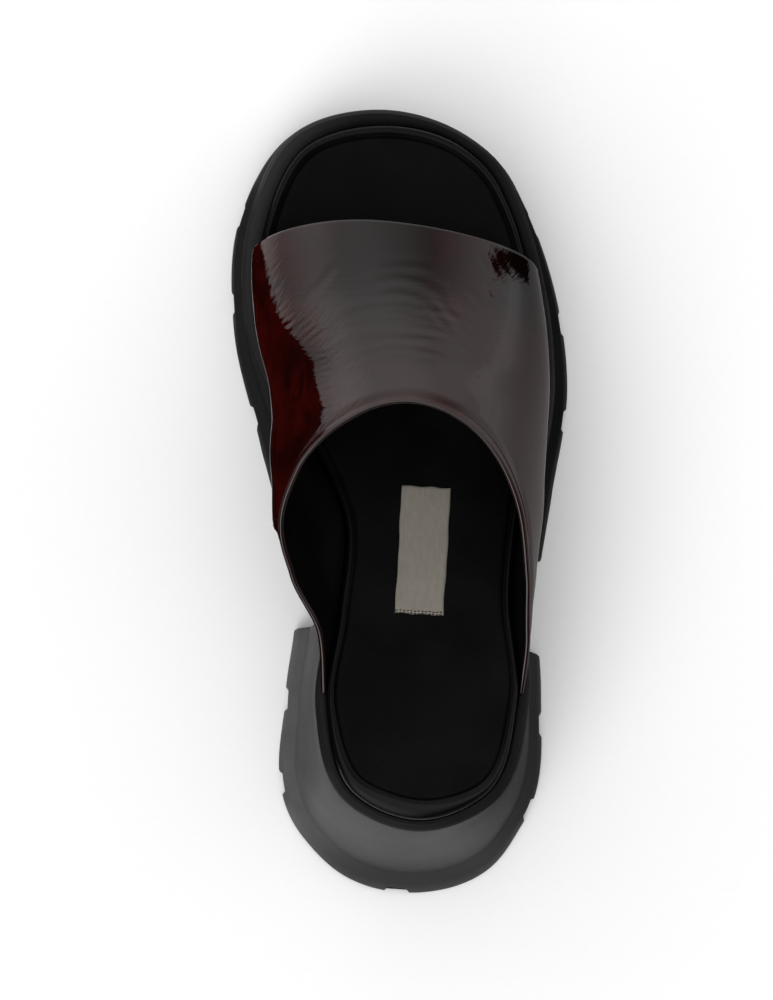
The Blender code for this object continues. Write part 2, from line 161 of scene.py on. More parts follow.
# Rings of the welt under the footbed and out of its groove: place beyond the footbed's edge and rise.
WELT_INSIDE = ((-3.0, -WELT_GROOVE), (0.4, -WELT_GROOVE), (0.5, -0.2), (0.65, 0.0))
WELT_HOLLOW = 1.6
FOOTBED_SIDE = 3.4
FOOTBED_CREST = 6.3
FOOTBED_TUCK = 0.8
ROLL_SHARE = 0.36
ROLL_GROWTH = 0.1
ROLL_FOOT = 4.9
ROLL_FALL = 2.0
BEAD_RISE = 0.2
BEAD_IN = 0.3
BEAD_WIDTH = 0.24
ROLL_TUCK = 0.6
ROLL_RINGS = 26
# Piping up to this width has its crest at ROLL_SHARE; beyond it the crest moves in.
ROLL_PLAIN = 3.0
SOCK_TUCK = 0.1
SOCK_ROUND = 0.9
SOCK_EDGE = 4.85
SOCK_TOP = 5.3
SOCK_DISH = 5.0
SOCK_STITCH_INSET = 1.9
SOCK_STITCH_SINK = 0.05
SOCK_COLUMNS = 40
DISH_INSET = 9.0
PLAN_ROWS = 200

# Outsole
LUG = 9.5
LUG_RIM = 2.2
LUG_CHAMFER = 0.9
LUG_SPLAY = 3.0
LUG_SPLAY_SHARE = 0.15
LUG_SPLAY_MOST = 0.7
LUG_POWER = 0.4
CREASE_STEP = 0.5
CREASE_RISE = 0.9
FLARE_POWER = 0.7
BREAST_SKEW = 0.118
ARCH = table(("row", "height"), (
    (-50.4, 0.0),
    (-47.6, 11.0),
    (-46.4, 22.0),
    (-44.6, 30.0),
    (-40.6, 34.6),
    (-35.0, 34.8),
    (-28.0, 31.0),
    (-21.5, 24.5),
    (-17.0, 14.0),
    (-14.6, 0.0),
))
CHANNELS = ((19.05, 3.2), (18.22, 4.25), (17.3, 5.3), (14.05, 8.25), (13.33, 8.9))
BACK_CHANNEL = 11.26
BACK_CHANNEL_LENGTH = 26.0
CHANNEL_WIDTH = 7.5
CHANNEL_HEIGHT = 5.0
CHANNEL_DRAFT = 0.5
CHANNEL_OVERRUN = 6.0
SOLE_ROWS = 380
SOLE_COLUMNS = 56
# Rings down its wall, its step and its lugs, and angles of the lugs' rounded edge.
WALL_RINGS = 14
STEP_RINGS = 4
LUG_RINGS = 6
LUG_TURNS = (0.0, 20.0, 40.0, 60.0, 75.0, 90.0)
SOLE_LIP = 0.5
SOLE_LIP_DROP = 0.2

# Woven label on the sock
LABEL_X = 12.3
LABEL_Y = -17.0
LABEL_WIDTH = 16.5
LABEL_LENGTH = 43.0
LABEL_THICK = 0.6
LABEL_TURN = -0.06
LABEL_COLUMNS = 34
LABEL_ROWS = 90
LABEL_RIM = 0.5
LABEL_UNDER = 0.15
LABEL_STITCH_SINK = 0.3

# Creases of the band, one a row: from x, y in plan to x, y, bow towards the toe, width, depth.
CREASES = (
    (-18.7, 58.2, 21.3, 56.4, 5.0, 1.5, 0.10),
    (-20.5, 54.6, 25.0, 52.8, 5.4, 1.6, 0.09),
    (7.7, 56.8, 24.0, 53.2, 1.0, 1.0, 0.06),
    (-4.0, 72.0, 21.0, 65.0, 4.6, 1.5, 0.07),
    (10.4, 67.3, 20.4, 56.4, 0.8, 1.1, 0.09),
    (17.7, 66.4, 25.9, 54.6, 0.8, 1.1, 0.08),
    (26.8, 71.0, 32.3, 63.7, 0.6, 1.1, 0.06),
    (32.3, 73.7, 38.6, 65.5, 0.5, 1.0, 0.06),
    (-16.9, 78.3, -25.0, 67.3, 0.4, 1.3, 0.06),
    (-3.2, 76.4, 15.0, 76.4, 1.0, 1.4, 0.05),
    (-24.0, 72.0, -29.0, 63.0, 0.3, 1.0, 0.06),
    (-10.0, 46.0, 22.0, 44.0, 5.0, 1.0, 0.05),
    (-14.0, 49.4, 26.0, 47.0, 5.2, 1.1, 0.05),
    (2.0, 52.2, 30.0, 48.0, 3.0, 1.0, 0.06),
    (-12.0, 61.8, 18.0, 60.5, 3.6, 1.2, 0.05),
    (8.0, 63.0, 30.0, 57.5, 2.0, 1.0, 0.06),
    (-6.0, 66.0, 14.0, 65.5, 2.4, 1.2, 0.045),
    (8.0, 48.0, 22.0, 46.0, 1.6, 0.9, 0.05),
    (34.5, 84.0, 39.5, 74.0, 0.6, 1.0, 0.09),
    (37.5, 83.0, 42.0, 75.0, 0.5, 0.9, 0.08),
    (31.5, 82.0, 35.5, 73.0, 0.6, 1.1, 0.07),
)
# Fans of short creases on the inner wall: from x, y to x, y, how many, lean in x and y, width, depth.
FANS = (
    (-40.5, 74.0, -38.5, 62.0, 7, 3.6, 5.0, 0.45, 0.10),
    (-37.0, 58.0, -26.0, 52.0, 9, 4.6, 4.0, 0.5, 0.13),
    (-23.5, 48.0, -21.0, 30.0, 10, 3.6, 1.0, 0.5, 0.10),
    (-36.5, 24.0, -33.0, 4.0, 10, 2.2, 3.2, 0.45, 0.10),
)
# Line in plan along which the inner wall's gloss breaks into fine streaks, and how far to each side.
FRAY_LINE = (
    (-44.0, 92.0), (-38.0, 70.0), (-33.0, 63.0), (-24.6, 59.0),
    (-17.0, 49.0), (-14.0, 42.6), (-18.0, 28.0), (-27.0, 14.0),
)
FRAY_SAMPLES = 60
FRAY_REACH = 7.0
FRAY_TURN = 0.65
# The same at the outer front corner, and its share of the streaks.
FRAY_CORNER = (41.0, 77.0)
FRAY_CORNER_REACH = 11.0
FRAY_CORNER_SHARE = 0.4

# Stitches: pitch, length and radius of the thread.
SEAM_SEWING = (2.4, 1.9, 0.16)
SEAM_SEWING_ROWS = (1.4, 3.2)
SEAM_SEWING_CLEAR = 4.0
SEAM_SEWING_BASE = 0.02
SEAM_SEWING_SINK = 0.08
SEAM_SAMPLES = 2001
SOCK_SEWING = (2.3, 1.6, 0.13)
LABEL_SEWING = (1.25, 1.1, 0.2)
LABEL_SEWING_ROWS = (0.1, 1.0)
STITCH_SPOKES = 8
STITCH_RINGS = 9

# Places of the finishes in the upper's list.
PATENT, FOLD, LINING, EDGE = range(4)
# Rubber at the heel: dark and light tone, then the darker tones of its outer side and of its back, which
# are painted shade.
HEEL_TONES = (
    (0.072, 0.070, 0.071), (0.098, 0.095, 0.096), (0.025, 0.024, 0.0245), (0.040, 0.0385, 0.039)
)

# Soft panels round the shoe: turn from the toe towards the outer side, rise above the floor, angles from
# the panel's middle where its light starts and where it is full, strength.
LIGHTS = (
    (-10.0, 10.0, 60.0, 5.0, 1.25),
    (-60.0, 10.0, 45.0, 5.0, 0.63),
    (66.0, 4.0, 44.0, 8.0, 0.85),
    (-148.0, 40.0, 30.0, 6.0, 2.9),
    (95.0, 60.0, 36.0, 10.0, 1.05),
    (-105.0, 80.0, 45.0, 10.0, 1.56),
)
AMBIENT = 0.06
BACKDROP = 0.93
FLOOR_REACH = 4000.0
# Cards that show in the gloss alone, clear of the sole and just over the floor.
CARD_CLEAR = 3.0
CARD_LIFT = 0.3
# Black flag beside the inner wall, seen in the gloss alone as painted dark reflection, over the floor as
# painted shade: one row for each place along the foot and its top there.
FLAG_X = -70.0
FLAG_ROWS = (
    (-110.0, 110.0), (20.0, 110.0), (63.0, 106.0), (68.0, 60.0),
    (88.0, 45.0), (92.0, 35.0), (101.0, 30.0), (112.0, 20.0),
)
# Its small second cloth off the outer front corner, upright, a painted dark reflection: places along the
# foot and heights.
CORNER_X = 95.0
CORNER_CLOTH = ((121.0, 76.0), (110.0, 79.0), (87.0, 31.0), (97.0, 18.0))
# The card shows in the gloss alone; its dark tone beside the shoe is painted shade of the floor, seen in
# reflection.
# Grey card on the outer side: tones beside the shoe, away from it and towards the toe, and where each
# passes into the next, in metres.
BOUNCE_ROWS = (-400.0, -110.0, -80.0, -50.0, -20.0, 10.0, 40.0, 70.0, 100.0, 400.0)
BOUNCE_WIDTH = 1500.0
BOUNCE_TONES = ((0.27, 0.26, 0.26), (0.82, 0.81, 0.81), (0.9, 0.9, 0.9))
BOUNCE_AWAY = (0.06, 0.5)
BOUNCE_AHEAD = (0.04, 0.34)
BOUNCE_SLANT = 0.62

CAMERA_HEIGHT = 1.9
CAMERA_SENSOR = 36.0
CAMERA_LENS = 197.0


def shares(count):
    return np.linspace(0.0, 1.0, count)


def unit(vectors):
    return vectors / np.linalg.norm(vectors, axis=-1, keepdims=True)


def cubic(share):
    """Weights of a cubic step: its start, its end and the slopes there."""
    start = (1 + 2 * share) * (1 - share) ** 2
    end = share ** 2 * (3 - 2 * share)
    return start, end, share * (1 - share) ** 2, share ** 2 * (share - 1)


def smooth(knots, values, where):
    """Curve through the knots that never swings past a row."""
    step = np.diff(knots)
    rate = np.diff(values) / step
    slope = np.zeros(len(knots))
    product = rate[:-1] * rate[1:]
    total = np.where(product > 0, rate[:-1] + rate[1:], 1.0)
    slope[1:-1] = np.where(product > 0, 2 * product / total, 0.0)
    slope[0] = rate[0]
    slope[-1] = rate[-1]
    at = np.clip(where, knots[0], knots[-1])
    cell = np.clip(np.searchsorted(knots, at) - 1, 0, len(step) - 1)
    width = step[cell]
    start, end, leave, arrive = cubic((at - knots[cell]) / width)
    from_start = start * values[cell] + leave * width * slope[cell]
    return from_start + end * values[cell + 1] + arrive * width * slope[cell + 1]


def ease(value, low, high):
    """0 up to low, 1 from high on, and a soft rise between them."""
    share = np.clip((value - low) / (high - low), 0.0, 1.0)
    return share ** 2 * (3 - 2 * share)


def seat(y):
    return smooth(HEIGHTS["y"], HEIGHTS["seat"], y)


def spring(y):
    return smooth(HEIGHTS["y"], HEIGHTS["spring"], y)


def arch(row):
    return np.interp(row, ARCH["row"], ARCH["height"])


def last(name, y):
    return smooth(LAST["y"], LAST[name], y)


def closed_curve(rows):
    """Smooth closed curve through the rows, which are spaced by their chords in plan."""
    here = np.array(rows)
    ahead = np.roll(here, -1, axis=0)
    chord = np.hypot(*(ahead - here)[:, :2].T)[:, None]
    before = np.roll(chord, 1, axis=0)
    rate_in = (here - np.roll(here, 1, axis=0)) / before
    rate_out = (ahead - here) / chord
    slope = (rate_in * chord + rate_out * before) / (chord + before)
    leave = slope * chord
    arrive = np.roll(slope, -1, axis=0) * chord
    pieces = []
    for share in np.arange(CURVE_SAMPLES) / CURVE_SAMPLES:
        start, end, out, back = cubic(share)
        pieces.append(start * here + end * ahead + out * leave + back * arrive)
    return np.stack(pieces, axis=1).reshape(-1, here.shape[1])


def plan_curve():
    """Fine curve of the footbed's edge, an array for each column, and its outward normal."""
    curve = table(STATION_COLUMNS, closed_curve(STATIONS))
    run_x = np.roll(curve["x"], -1) - np.roll(curve["x"], 1)
    run_y = np.roll(curve["y"], -1) - np.roll(curve["y"], 1)
    length = np.hypot(run_x, run_y)
    curve["out_x"] = -run_y / length
    curve["out_y"] = run_x / length
    curve["row"] = curve["y"] + BREAST_SKEW * curve["x"]
    return curve


def offset(edge, distance):
    return edge["x"] + edge["out_x"] * distance, edge["y"] + edge["out_y"] * distance


def plan_centre(curve):
    x, y = offset(curve, curve["rim"] + curve["flare"])
    return np.array(((x.min() + x.max()) / 2, (y.min() + y.max()) / 2, 0.0))


CURVE = plan_curve()
CENTRE = plan_centre(CURVE)


def split_curve():
    """The curve's places down its outer half and down its inner half, both from the toe."""
    count = len(CURVE["row"])
    toe = int(CURVE["row"].argmax())
    heel = int(CURVE["row"].argmin())
    outer = np.arange(toe, heel + count * (heel < toe) + 1)
    inner = np.arange(toe + count, heel + count * (heel < toe) - 1, -1)
    return outer, inner


def perimeter(row_count):
    """Ring of places on the curve: toe, outer rows down to the heel, inner rows back up."""
    outer, inner = split_curve()
    count = len(CURVE["row"])
    high = CURVE["row"].max()
    low = CURVE["row"].min()
    turn = np.linspace(0.0, np.pi, row_count + 1)[1:-1]
    rows = high - (high - low) * (1 - np.cos(turn)) / 2
    down_outer = np.interp(-rows, -CURVE["row"][outer % count], outer)
    down_inner = np.interp(-rows, -CURVE["row"][inner % count], inner)
    places = np.concatenate(([outer[0]], down_outer, [outer[-1]], down_inner[::-1])) % count
    wrapped = np.arange(count + 1)
    return {name: np.interp(places, wrapped, np.append(fine, fine[0])) for name, fine in CURVE.items()}


def over_seat(x, y, rise):
    """Points at places in plan and at a rise over the seat."""
    return np.stack(np.broadcast_arrays(x, y, seat(y) + rise), axis=-1)


def ring(edge, distance, rise):
    """Points of a ring beyond the footbed's edge, at a rise over the seat."""
    return over_seat(*offset(edge, distance), rise)


def grid_faces(ids):
    """Faces between the rows and columns of a grid of points."""
    corners = (ids[:-1, :-1], ids[:-1, 1:], ids[1:, 1:], ids[1:, :-1])
    return np.stack(corners, axis=-1).reshape(-1, 4).tolist()


def loop_faces(levels, count):
    """Faces between rings of the same count, from the first ring down to the last."""
    ids = np.arange(levels * count).reshape(levels, count)
    return grid_faces(np.concatenate((ids, ids[:, :1]), axis=1))


def web(rim, first, start, columns, upward):
    """Points and faces that fill a ring, across from its outer rows to its inner rows."""
    count = len(rim)
    half = count // 2
    share = shares(columns + 1)[1:-1, None]
    outer = rim[1:half]
    inner = rim[:half:-1]
    middle = outer[:, None] * (1 - share) + inner[:, None] * share
    ids = np.zeros((half - 1, columns + 1), dtype=int)
    ids[:, 0] = first + np.arange(1, half)
    ids[:, -1] = first + np.arange(count - 1, half, -1)
    ids[:, 1:-1] = start + np.arange((half - 1) * (columns - 1)).reshape(half - 1, columns - 1)
    faces = grid_faces(ids)
    for here in range(columns):
        faces.append([first, int(ids[0, here + 1]), int(ids[0, here])])
        faces.append([first + half, int(ids[-1, here]), int(ids[-1, here + 1])])
    if not upward:
        faces = [face[::-1] for face in faces]
    return middle, faces


def mesh_object(name, points, faces, finishes):
    """A mesh in the scene, from points of the plan in millimetres."""
    mesh = bpy.data.meshes.new(name)
    mesh.from_pydata(((points - CENTRE) * MM).tolist(), [], faces)
    for finish in finishes:
        mesh.materials.append(finish)
    made = bpy.data.objects.new(name, mesh)
    bpy.context.collection.objects.link(made)
    return made


def piece(name, points, faces, finishes, node=None, zones=None, fields=None):
    """One piece of the shoe as a mesh that rides with it."""
    made = mesh_object(name, points, faces, finishes)
    mesh = made.data
    if zones is not None:
        mesh.polygons.foreach_set("material_index", np.array(zones, dtype=np.int32))
    for field, values in (fields or {}).items():
        layer = mesh.attributes.new(field, "FLOAT", "POINT")
        layer.data.foreach_set("value", np.array(values, dtype=np.float32))
    work = bmesh.new()
    work.from_mesh(mesh)
    bmesh.ops.remove_doubles(work, verts=work.verts, dist=WELD)
    bmesh.ops.dissolve_degenerate(work, edges=work.edges, dist=WELD)
    bmesh.ops.recalc_face_normals(work, faces=work.faces)
    work.to_mesh(mesh)
    work.free()
    mesh.shade_smooth()
    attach(made, "root")
    if node:
        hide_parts(node)
    return made


class Value:
    """A socket in a finish; arithmetic on it adds Math nodes."""

    def __init__(self, finish, socket):
        self.finish = finish
        self.socket = socket

    def math(self, operation, first, second):
        return self.finish.node("ShaderNodeMath", {"operation": operation}, {0: first, 1: second})

    def __add__(self, other):
        return self.math("ADD", self, other)

    def __sub__(self, other):
        return self.math("SUBTRACT", self, other)

    def __rsub__(self, other):
        return self.math("SUBTRACT", other, self)

    def __mul__(self, other):
        return self.math("MULTIPLY", self, other)

    __radd__ = __add__
    __rmul__ = __mul__


class Finish:
    """The nodes of one finish, or of the light around the shoe."""

    def __init__(self, tree):
        self.tree = tree
        tree.nodes.clear()

    def node(self, kind, settings, sockets, output=0):
        """One node: its settings first, then the values or links of its sockets."""
        made = self.tree.nodes.new(kind)
        for name, setting in settings.items():
            setattr(made, name, setting)
        for name, given in sockets.items():
            socket = made.inputs[name]
            if isinstance(given, Value):
                self.tree.links.new(given.socket, socket)
            elif socket.type == "RGBA":
                socket.default_value = (*given, 1.0)
            else:
                socket.default_value = given
        return Value(self, made.outputs[output]) if made.outputs else None

    def place(self):
        """Where on the shoe, in metres."""
        return self.node("ShaderNodeTexCoord", {}, {}, "Object")

    def axis(self, place, name):
        return self.node("ShaderNodeSeparateXYZ", {}, {0: place}, name)

    def stretch(self, place, scale):
        return self.node("ShaderNodeVectorMath", {"operation": "MULTIPLY"}, {0: place, 1: scale})

    def field(self, name):
        """A number that the mesh carries at each point."""
        return self.node("ShaderNodeAttribute", {"attribute_name": name}, {}, "Fac")

    def noise(self, place, scale, detail=2.0, rough=0.5, bend=0.0):
        sockets = {"Scale": scale, "Detail": detail, "Roughness": rough, "Distortion": bend}
        return self.node("ShaderNodeTexNoise", {}, {"Vector": place, **sockets}, "Fac")

    def cells(self, place, scale):
        return self.node("ShaderNodeTexVoronoi", {}, {"Vector": place, "Scale": scale}, "Distance")

    def fade(self, value, low, high, to_low=0.0, to_high=1.0):
        sockets = {"Value": value, "From Min": low, "From Max": high, "To Min": to_low, "To Max": to_high}
        return self.node("ShaderNodeMapRange", {"interpolation_type": "SMOOTHSTEP"}, sockets)

    def blend(self, share, low, high):
        return self.node("ShaderNodeMix", {"data_type": "RGBA"}, {0: share, 6: low, 7: high}, 2)

    def bump(self, height, distance, strength=1.0):
        sockets = {"Height": height, "Distance": distance, "Strength": strength}
        return self.node("ShaderNodeBump", {}, sockets)

    def surface(self, sockets):
        shader = self.node("ShaderNodeBsdfPrincipled", {}, sockets)
        self.node("ShaderNodeOutputMaterial", {}, {"Surface": shader})


def new_finish(name):
    made = bpy.data.materials.new(name)
    made.use_nodes = True
    return made, Finish(made.node_tree)


def patent_finish():
    """Deep red patent leather: a glassy face over crinkled hide, its base painted lighter and redder down
    its inner wall as painted light.
    """
    made, finish = new_finish("patent_leather")
    place = finish.place()
    cloud = finish.noise(place, 45.0, 3.0)
    streak = finish.noise(finish.stretch(place, (1.0, 0.35, 0.6)), 260.0, 4.0, 0.65, 1.2)
    depth = finish.fade(cloud * 0.5 + streak * 0.5, 0.36, 0.62)
    crown = finish.blend(depth, (0.0075, 0.0008, 0.0008), (0.014, 0.0011, 0.0010))
    # Darker base at the front middle of the vamp and at its outer front corner: painted shade, for the dark
    # reflections there.
    crown_shift = 0.006
    across = finish.axis(place, "X") + crown_shift
    ahead = finish.axis(place, "Y")
    painted_shade = finish.fade(ahead, 0.04, 0.075) * finish.fade(across * across, 0.00003, 0.0005, 0.8, 0.0)
    painted_shade = painted_shade + finish.fade(ahead, 0.05, 0.07) * finish.fade(across, 0.034, 0.046)
    crown = finish.blend(painted_shade, crown, (0.0022, 0.0008, 0.0009))
    # The inner wall's lighter, redder base is painted light; the crown keeps the darker tone.
    wall = finish.blend(depth, (0.009, 0.0008, 0.0007), (0.034, 0.0019, 0.0012))
    colour = finish.blend(finish.field("inner_wall"), crown, wall)
    crinkle = finish.noise(finish.stretch(place, (1.0, 0.5, 1.0)), 700.0, 4.0, 0.6, 0.6)
    swell = finish.noise(place, 120.0, 2.0)
    turned = finish.node("ShaderNodeMapping", {}, {"Vector": place, "Rotation": (0.0, 0.0, FRAY_TURN)})
    streaks = finish.noise(finish.stretch(turned, (1.0, 0.14, 0.25)), 1250.0, 3.0, 0.55, 0.3)
    tongues = finish.noise(finish.stretch(turned, (1.0, 0.3, 0.4)), 320.0, 2.0, 0.5, 0.6)
    fray = (streaks * 1.3 + tongues * 1.5) * finish.field("fray")
    pleats = finish.noise(finish.stretch(place, (0.16, 1.0, 0.7)), 380.0, 3.0, 0.5, 1.6)
    flex = finish.fade(ahead, 0.024, 0.05) * finish.fade(ahead, 0.066, 0.088, 1.0, 0.0)
    normal = finish.bump(crinkle * 0.02 + swell * 0.1 + fray + pleats * flex * 0.35, 0.00025, 0.5)
    finish.surface({
        "Base Color": colour,
        "Roughness": finish.fade(crinkle, 0.3, 0.8, 0.03, 0.075),
        "Specular IOR Level": 0.5,
        "IOR": 1.5,
        "Normal": normal,
    })
    return made


def collar_finish(name, scale, dark, light, gloss, shine, coat, coat_gloss, relief):
    """Leather or paint at the collar's edge. gloss: roughness, least and most. relief: depth, strength."""
    made, finish = new_finish(name)
    pucker = finish.noise(finish.place(), scale, 3.0, 0.6)
    finish.surface({
        "Base Color": finish.blend(finish.fade(pucker, 0.3, 0.7), dark, light),
        "Roughness": finish.fade(pucker, 0.2, 0.8, *gloss),
        "Specular IOR Level": shine,
        "Coat Weight": coat,
        "Coat Roughness": coat_gloss,
        "Normal": finish.bump(pucker, *relief),
    })
    return made


def grained_finish(name, dark, light, grain, grain_depth, gloss, shine, coat, heel_coat=None):
    """Black leather: pores and soft cloudiness, with a thin dressing; heel_coat: how much at the heel."""
    made, finish = new_finish(name)
    place = finish.place()
    cloud = finish.noise(place, 38.0, 3.0)
    pebble = finish.cells(place, grain)
    pores = finish.noise(place, grain * 2.4, 3.0, 0.6)
    height = pebble * 0.6 + pores * 0.4
    if heel_coat:
        coat = finish.fade(finish.axis(place, "Y"), -0.085, -0.055, heel_coat, coat)
    finish.surface({
        "Base Color": finish.blend(finish.fade(cloud, 0.3, 0.7), dark, light),
        "Roughness": finish.fade(cloud + pores * 0.3, 0.4, 0.9, gloss - 0.05, gloss + 0.08),
        "Specular IOR Level": shine,
        "Coat Weight": coat,
        "Coat Roughness": 0.25,
        "Normal": finish.bump(height, grain_depth, 0.6),
    })
    return made


def rubber_finish(name, dark, light, painted_sheen, gloss, shine, texture, heel=None):
    """Moulded rubber with the fine spark texture of its mould.

    painted_sheen: a lighter tone down the inner side, painted sheen. heel: its tones at the heel, its outer
    side and back darker as painted shade.
    """
    made, finish = new_finish(name)
    place = finish.place()
    spark = finish.noise(place, 1900.0, 3.0, 0.65)
    cloud = finish.noise(place, 30.0, 4.0, 0.6)
    scuff = finish.noise(finish.stretch(place, (1.0, 1.0, 3.0)), 160.0, 5.0, 0.7)
    share = finish.fade(cloud * 0.6 + scuff * 0.25 + spark * 0.15, 0.35, 0.65)
    ahead = finish.axis(place, "Y")
    across = finish.axis(place, "X")
    # Down the inner side the tone is lighter: painted sheen.
    colour = finish.blend(finish.fade(across, -0.046, -0.012), painted_sheen, finish.blend(share, dark, light))
    if heel:
        low, high, outer, back = heel
        # The heel's outer side and back take darker tones: painted shade.
        flare = finish.blend(finish.fade(across, 0.012, 0.048), finish.blend(share, low, high), outer)
        flare = finish.blend(finish.fade(ahead, -0.130, -0.110, 1.0, 0.0), flare, back)
        colour = finish.blend(finish.fade(ahead, -0.045, -0.015), flare, colour)
    finish.surface({
        "Base Color": colour,
        "Roughness": finish.fade(spark * 0.5 + scuff * 0.5, 0.3, 0.7, gloss - 0.07, gloss + 0.07),
        "Specular IOR Level": shine,
        "Normal": finish.bump(spark * 0.6 + scuff * 0.4, texture, 0.5),
    })
    return made


def weave_finish():
    """Plain cream tape, its tones darkened as painted shade of the band over it: warp and weft show as fine
    ribs.
    """
    made, finish = new_finish("label_weave")
    across = finish.field("across")
    along = finish.field("along")
    warp_pitch = 0.55
    weft_pitch = 0.42
    warp = finish.node("ShaderNodeMath", {"operation": "SINE"}, {0: across * (2 * np.pi / warp_pitch)})
    weft = finish.node("ShaderNodeMath", {"operation": "SINE"}, {0: along * (2 * np.pi / weft_pitch)})
    slub = finish.noise(finish.stretch(finish.place(), (900.0, 120.0, 900.0)), 1.0, 3.0, 0.6)
    thread = warp * weft * 0.5 + slub
    # Both tones are darker than the cream tape: painted shade of the band.
    colour = finish.blend(finish.fade(thread, 0.0, 1.0), (0.145, 0.13, 0.105), (0.25, 0.23, 0.193))
    finish.surface({
        "Base Color": colour,
        "Roughness": finish.fade(slub, 0.3, 0.7, 0.75, 0.92),
        "Sheen Weight": 0.15,
        "Normal": finish.bump(thread, 0.00012, 0.8),
    })
    return made


def thread_finish(name, dark, light, shine=0.3):
    made, finish = new_finish(name)
    twist = finish.noise(finish.place(), 3000.0, 2.0)
    finish.surface({
        "Base Color": finish.blend(twist, dark, light),
        "Roughness": finish.fade(twist, 0.2, 0.8, 0.5, 0.75),
        "Specular IOR Level": shine,
        "Normal": finish.bump(twist, 0.0001, 0.6),
    })
    return made


def channel_lines():
    """Start and end of every channel between the lugs, in plan."""
    x, y = offset(CURVE, CURVE["rim"] + CURVE["flare"])
    for inner, outer in CHANNELS:
        ends = [int(round(station * CURVE_SAMPLES)) % len(x) for station in (inner, outer)]
        start, end = (np.array((x[place], y[place])) for place in ends)
        run = (end - start) / np.linalg.norm(end - start) * CHANNEL_OVERRUN
        yield start - run, end + run
    place = int(round(BACK_CHANNEL * CURVE_SAMPLES))
    out = np.array((CURVE["out_x"][place], CURVE["out_y"][place]))
    start = np.array((x[place], y[place]))
    yield start + out * CHANNEL_OVERRUN, start - out * BACK_CHANNEL_LENGTH


def tread(x, y, row):
    """Height of the sole's underside: the lugs' faces, the channels and the arch."""
    low = spring(y)
    cut = np.zeros(np.shape(x))
    for start, end in channel_lines():
        length = np.linalg.norm(end - start)
        run = (end - start) / length
        along = (x - start[0]) * run[0] + (y - start[1]) * run[1]
        aside = np.abs((x - start[0]) * -run[1] + (y - start[1]) * run[0])
        half = CHANNEL_WIDTH / 2
        inside = 1 - ease(aside, half - CHANNEL_DRAFT, half + CHANNEL_DRAFT)
        within = 1 - ease(along, length - CHANNEL_DRAFT, length + CHANNEL_DRAFT)
        cut = np.maximum(cut, inside * within)
    return np.maximum(low + CHANNEL_HEIGHT * cut, arch(row))


def outsole():
    """Unit sole: full flare, step at the crease, splayed lugs with rounded edges, arched waist."""
    edge = perimeter(SOLE_ROWS)
    flare = edge["flare"]
    splay = np.minimum(LUG_SPLAY + LUG_SPLAY_SHARE * flare, LUG_SPLAY_MOST * flare)
    step = np.minimum(CREASE_STEP, flare - splay)
    wall = flare - splay - step
    x, y = offset(edge, edge["rim"] + flare)
    low = spring(y)
    top = seat(edge["y"]) - WELT - GAP
    crease = low + LUG + CREASE_RISE
    ground = tread(x, y, edge["row"])
    turn = np.minimum(LUG_CHAMFER, LUG_SPLAY_MOST * flare)
    floor = ground + turn

    def ring_at(z):
        down = np.clip((top - z) / (top - crease), 0.0, 1.0)
        ledge = ease(-z, -crease, -low - LUG)
        lug = np.clip((low + LUG - z) / (LUG - LUG_RIM), 0.0, 1.0)
        rounded = np.clip(1 - (z - ground) / turn, 0.0, 1.0)
        spread = wall * down ** FLARE_POWER + step * ledge + splay * lug ** LUG_POWER
        spread = spread - turn * (1 - np.sqrt(1 - rounded ** 2))
        ring_x, ring_y = offset(edge, edge["rim"] + spread)
        return np.stack((ring_x, ring_y, z), axis=1)

    rings = [ring(edge, edge["rim"] - SOLE_LIP, -WELT - GAP)]
    for share in shares(WALL_RINGS):
        drop = SOLE_LIP_DROP * (share == 0.0)
        rings.append(ring_at(np.maximum(top + (crease - top) * share, floor) - drop))
    for share in shares(STEP_RINGS)[1:]:
        rings.append(ring_at(np.maximum(crease - CREASE_RISE * share, floor)))
    for share in shares(LUG_RINGS)[1:]:
        rings.append(ring_at(np.maximum(low + LUG + (LUG_RIM - LUG) * share, floor)))
    for angle in np.radians(LUG_TURNS):
        rings.append(ring_at(ground + turn * (1 - np.sin(angle))))
    # Its third tone is painted sheen down the inner side.
    rubber = rubber_finish(
        "sole_rubber", (0.003, 0.003, 0.0032), (0.006, 0.006, 0.0063), (0.014, 0.014, 0.0143),
        gloss=0.5, shine=0.045, texture=0.0003, heel=HEEL_TONES,
    )
    rows = edge["row"][1:len(flare) // 2, None]
    return ring_piece(
        "outsole_rubber", rings, rubber, "outsole",
        under=(SOLE_COLUMNS, lambda middle: tread(middle[..., 0], middle[..., 1], rows)),
    )


def ring_piece(name, rings, finish, node, over=(1, None), under=(1, None)):
    """Closed piece over rings that run from its top out and down to its underside.

    over, under: columns of the web that fills its top and its underside, and the height of its points.
    """
    points = np.concatenate(rings)
    last_first = len(points) - len(rings[-1])
    faces = loop_faces(len(rings), len(rings[0]))
    for rim, first, (columns, height) in ((rings[0], 0, over), (rings[-1], last_first, under)):
        middle, fill = web(rim, first, len(points), columns, first == 0)
        if height:
            middle[..., 2] = height(middle)
        points = np.concatenate((points, middle.reshape(-1, 3)))
        faces += fill
    return piece(name, points, faces, [finish], node)


